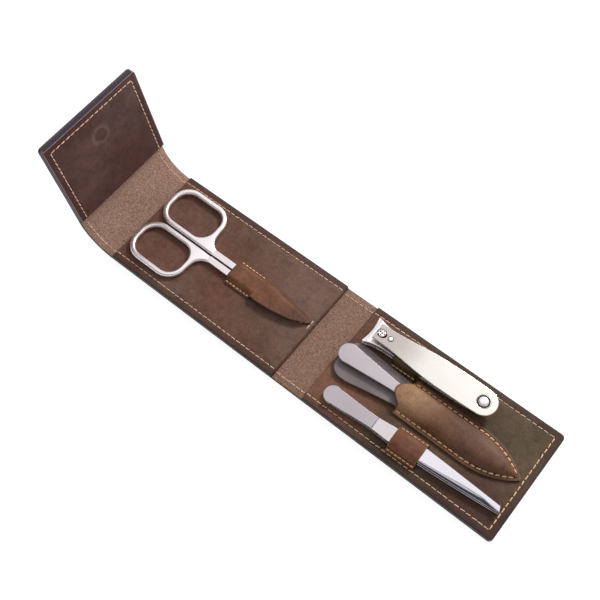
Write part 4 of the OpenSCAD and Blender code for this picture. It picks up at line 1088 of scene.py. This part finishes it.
arm_outline = long_outline(ARM_HALF, arc(TAIL_X, 0, TAIL_R, 90, -90, 16)) + [
    (FRONT_HOLLOW - FRONT_R + math.sqrt(FRONT_R ** 2 - y * y), y) for y in np.linspace(-6.6, 6.6, 17)]
plate("clipper_lower_jaw_arm", [arm_outline], 0, ARM_T, 0.16, CLIPPER, satin, "clipper_body",
      "clipper_lower_arm", ARM_CUTS, jaw_bend(lower_run, 2.2, 1.8, 0.6, 0.35))
plate("clipper_upper_jaw_arm", [arm_outline, arc(POST_AT, 0, 1.75, 0, -360, 24)[:-1]], 0, ARM_T, 0.16,
      CLIPPER, satin, "clipper_upper", "clipper_upper_arm", ARM_CUTS,
      jaw_bend(upper_run, 2.6, 2.0, -0.5, -0.2))
turned("clipper_tail_pin", [
    (2.3, 0.1), (2.3, 0.25), (1.5, 0.3), (1.5, 3.1), (2.3, 3.1), (2.3, 3.4), (2.1, 3.6), (1.2, 3.66),
    (0.1, 3.68)], PIN_X, CLIPPER, mirror, "clipper_body", "clipper_tail_rivet")
turned("clipper_post_ring", [
    (2.3, 0.12), (2.3, 0.6), (1.6, 0.72), (1.6, 7.9), (1.68, 8.0), (1.7, 8.2), (1.64, 8.4), (1.52, 8.52),
    (1.4, 8.5), (1.33, 8.4), (1.3, 8.2), (1.3, 7.5), (0.1, 7.45)], POST_AT, CLIPPER, satin, "clipper_post",
    "clipper_post")
# Dark ring and disc round the post and in its recess: painted shade.
turned("clipper_post_seam_shadow", [(2.25, 5.42), (2.25, 5.55), (1.63, 5.6), (1.63, 7.7), (0.1, 7.72)],
       POST_AT, CLIPPER, seam_shadow, "clipper_post")
turned("clipper_post_recess_shadow", [(1.29, 7.4), (1.29, 7.9), (0.1, 7.92)], POST_AT, CLIPPER, seam_shadow,
       "clipper_post")
for k, turn in enumerate((38, 128)):
    c, s = math.cos(math.radians(turn)), math.sin(math.radians(turn))
    bar = [(POST_AT + x * c - y * s, x * s + y * c) for x, y in rounded(0, 0, 2.65, 1.0, 0.25, 3)]
    plate(f"clipper_post_cross_{k + 1}", [bar], 7.85, 8.4, 0.16, CLIPPER, satin, "clipper_post")

LEVER_Z, LEVER_T = 7.0, 1.0
lever_outline = long_outline(LEVER_HALF, arc(STUD_X, 0, LEVER_R, 90, -90, 24))
lever_slot = arc(0.5, 0, 2.3, -90, 90, 12) + arc(-0.5, 0, 2.3, 90, 270, 12)
stud_hole = arc(STUD_X, 0, 3.15, 0, 360, 36)[:-1]
plate("clipper_lever_blade", [lever_outline, lever_slot, stud_hole], LEVER_Z, LEVER_Z + LEVER_T, 0.3, LEVER,
      lever_painted_shade, "clipper_lever", "clipper_lever", np.arange(8, 59, 3.0), steps=4)
turned("clipper_lever_dimple", [
    (1.12, 7.9), (1.12, 8.05), (1.05, 8.22), (0.85, 8.35), (0.5, 8.43), (0.05, 8.45)], DIMPLE_X, LEVER, satin,
    "clipper_lever")
# Dark ring round the dimple: painted shade.
turned("clipper_dimple_seam_shadow", [(1.4, 7.8), (1.4, 8.02), (0.1, 8.03)], DIMPLE_X, LEVER, seam_shadow,
       "clipper_lever")
turned("clipper_lever_stud", [
    (3.12, 7.05), (3.12, 7.95), (3.06, 8.1), (2.99, 8.13), (2.93, 8.08), (2.92, 7.9), (2.92, 7.5),
    (2.3, 7.45), (2.3, 8.05), (2.24, 8.25), (2.05, 8.45), (1.65, 8.63), (1.0, 8.76), (0.4, 8.8),
    (0.05, 8.8)], STUD_X, LEVER, satin, "clipper_lever", "clipper_lever_button")
# Dark ring round the stud: painted shade.
turned("clipper_stud_seam_shadow", [(2.91, 7.3), (2.91, 7.85), (0.1, 7.86)], STUD_X, LEVER, seam_shadow,
       "clipper_lever")

# ---------- Nail file and its guard ----------

FILE_Z, FILE_T = FILE_LOW.z - LINING_Z, FILE_HIGH.z - FILE_LOW.z
HANDLE_R, NECK_X = 4.85, 30.6
neck_line = smooth_run([(HANDLE_R + 1.6, 4.62), (12, 4.1), (20, 3.3), (NECK_X, 2.35), (34, 2.35)], 5)
file_handle = ([(x, -y) for x, y in neck_line] + [(x, y) for x, y in reversed(neck_line)]
               + arc(HANDLE_R, 0, HANDLE_R, 72, 288, 24))
plate("nail_file_handle", [file_handle], FILE_Z, FILE_Z + FILE_T, 0.24, FILE, matte, "file", "nail_file")
blade_line = smooth_run([(33, 2.3), (40, 2.45), (60.6, 2.65), (76, 2.5), (82, 1.75), (86, 0.8), (87.9, 0.15)],
                        5)
plate("nail_file_blade", [mirrored(blade_line)], FILE_Z + 0.08, FILE_Z + FILE_T - 0.08, 0.12, FILE, file_cut,
      "file", "nail_file")

GUARD_LOW, GUARD_HIGH = box_mm("file_guard")
GUARD_SHIFT = 1.35
guard = (arc(7.6, 3.4 - GUARD_SHIFT, 6, 180, 90, 10)
         + [(10.6, 9.4 - GUARD_SHIFT), (33.3, 6.5), (64.8, 4.6), (64.8, -4.6), (33.3, -6.5),
            (10.6, -9.4 - GUARD_SHIFT)]
         + arc(7.6, -3.4 - GUARD_SHIFT, 6, 270, 180, 10))
plate("file_guard_leaf", [guard], GUARD_LOW.z - LINING_Z, GUARD_HIGH.z - LINING_Z, 0.25, FILE, guard_plastic,
      "base", "file_guard")

# ---------- Tweezers ----------

TWEEZER_HALF = smooth_run([
    (7.2, 3.98), (12, 3.75), (18, 3.3), (26.6, 3.0), (31, 3.25), (36.6, 3.6), (43, 3.65), (50.6, 3.6),
    (62, 3.05), (76, 2.2), (89, 1.4)], 4)
tweezer_half = run_through(TWEEZER_HALF)
arm_run = run_through([(0, 1.95), (9, 1.95), (36.2, 3.3), (50.6, 3.3), (90, 2.75)])
TWEEZER_T, LOWER_LIFT = 0.9, 0.35
STEP_X, TIP_FROM, SLANT_FROM = 26.6, 46, 86


def tweezer_outline(start, end):
    """Plan of an arm between two places. The head is round."""
    first = max(start, TWEEZER_HALF[0][0])
    xs = [first] + [x for x, y in TWEEZER_HALF if first + 0.3 < x < end - 0.3] + [end]
    sides = [(x, tweezer_half(x)) for x in xs]
    head = [] if start > 8 else arc(4.3, 0, 4.3, 66, 294, 26)
    return [(x, -y) for x, y in sides] + sides[::-1] + head


# Along the tip: x, the width of the ground facet, which is painted dark as shade, and how far in its polished
# band ends
TIP_FACETS = ((46, 0.5, 0.75), (60, 0.8, 1.35), (72, 1.0, 1.85), (78.5, 1.35, 1.75), (81, 1.6, 1.7),
              (88.6, 0.1, 0.2))
# Faces painted dark as shade: the near wall, the ground facet and a thin step inside the band.
PAINTED_SHADE_FACES = (0, 2, 4)


def tweezer_tip(name, lift, body, node):
    """The polished end of an arm: a flat face, a ground facet along its near side, and a slanted end. The
    near wall, the facet and a thin step inside the polished band take dark steel: painted shade.
    """
    at, ground, band = zip(*TIP_FACETS)
    points = []
    xs = np.concatenate([np.linspace(TIP_FROM, SLANT_FROM, 33), [87.2, 88.0, 88.6]])
    for x in xs:
        w = tweezer_half(x)
        facet, inner = float(np.interp(x, at, ground)), float(np.interp(x, at, band))
        low = 0.06 + 0.7 * min(1.0, facet)
        slant = 0.5 * float(ease((x - SLANT_FROM) / 2.6))
        base = lift(x, 0, 0)
        top = base + TWEEZER_T
        points += [(x + slant, y, z) for y, z in (
            (-w, base), (-w, top - low - 0.03), (-w + 0.15, top - low), (-w + facet, top - 0.05),
            (-w + inner, top - 0.03), (-w + inner + 0.14, top))]
        points += [(x - slant, y, z) for y, z in ((w - 0.12, top), (w, top - 0.12), (w, base))]
    per = len(points) // len(xs)
    indices = [1 if k in PAINTED_SHADE_FACES else 0 for _ in xs[1:] for k in range(per)] + [0, 0]
    thing = bpy.data.objects.new(name, face_out(raw_mesh(name, points, tube_faces(len(xs), per), indices)))
    even_normals(thing)
    return to_piece(name, bake(thing, TWEEZERS), [mirror, polished_painted_shade], body, node, 24)


TWEEZER_CUTS = np.arange(4, 89, 3.0)
for arm, body, lift in (("upper", "tweezers_upper", lambda x, y, z: arm_run(x)),
                        ("lower", "tweezers", lambda x, y, z: LOWER_LIFT)):
    name, node = f"tweezers_{arm}", f"tweezers_{arm}_arm"
    plate(name + "_handle", [tweezer_outline(0, STEP_X - 0.1)], 0, TWEEZER_T, 0.16, TWEEZERS, matte, body,
          node, TWEEZER_CUTS, lift)
    plate(name + "_neck", [tweezer_outline(STEP_X + 0.1, TIP_FROM)], 0.04, TWEEZER_T - 0.06, 0.12, TWEEZERS,
          ground_steel, body, node, TWEEZER_CUTS, lift)
    tweezer_tip(name + "_tip", lift, body, node)

# ---------- CAD parts that stay, floor and finish ----------

for node, finish in (("base_board", board), ("cover_board", board), ("flap_board", board),
                     ("base_closure_plate", plate_steel), ("flap_magnet", magnet_steel)):
    for slot in frame["nodes"][node].material_slots:
        slot.material = finish.material


def add_floor():
    """A round sheet of pale paper that turns up at its rim, metres away from the case."""
    profile = ((2.6, 0.0), (2.8, 0.02), (3.0, 0.1), (3.1, 0.25), (3.15, 0.5), (3.18, 0.9))
    points = [(x, y, z) for r, z in profile for x, y in arc(0, 0, r, 0, 360, 96)[:-1]]
    mesh = bpy.data.meshes.new("studio_floor")
    mesh.from_pydata(points, [], [tuple(range(96))] + tube_faces(len(profile), 96)[:-2])
    paper = bpy.data.materials.new("studio_paper")
    paper.use_nodes = True
    shader = paper.node_tree.nodes["Principled BSDF"]
    for label, value in (("Base Color", (0.3, 0.3, 0.3, 1.0)), ("Roughness", 0.9),
                         ("Emission Color", (1.0, 1.0, 1.0, 1.0)), ("Emission Strength", 0.86)):
        shader.inputs[label].default_value = value
    mesh.materials.append(paper)
    floor = bpy.data.objects.new("studio_floor", mesh)
    floor.location.z = -0.0002
    bpy.context.scene.collection.objects.link(floor)


add_floor()
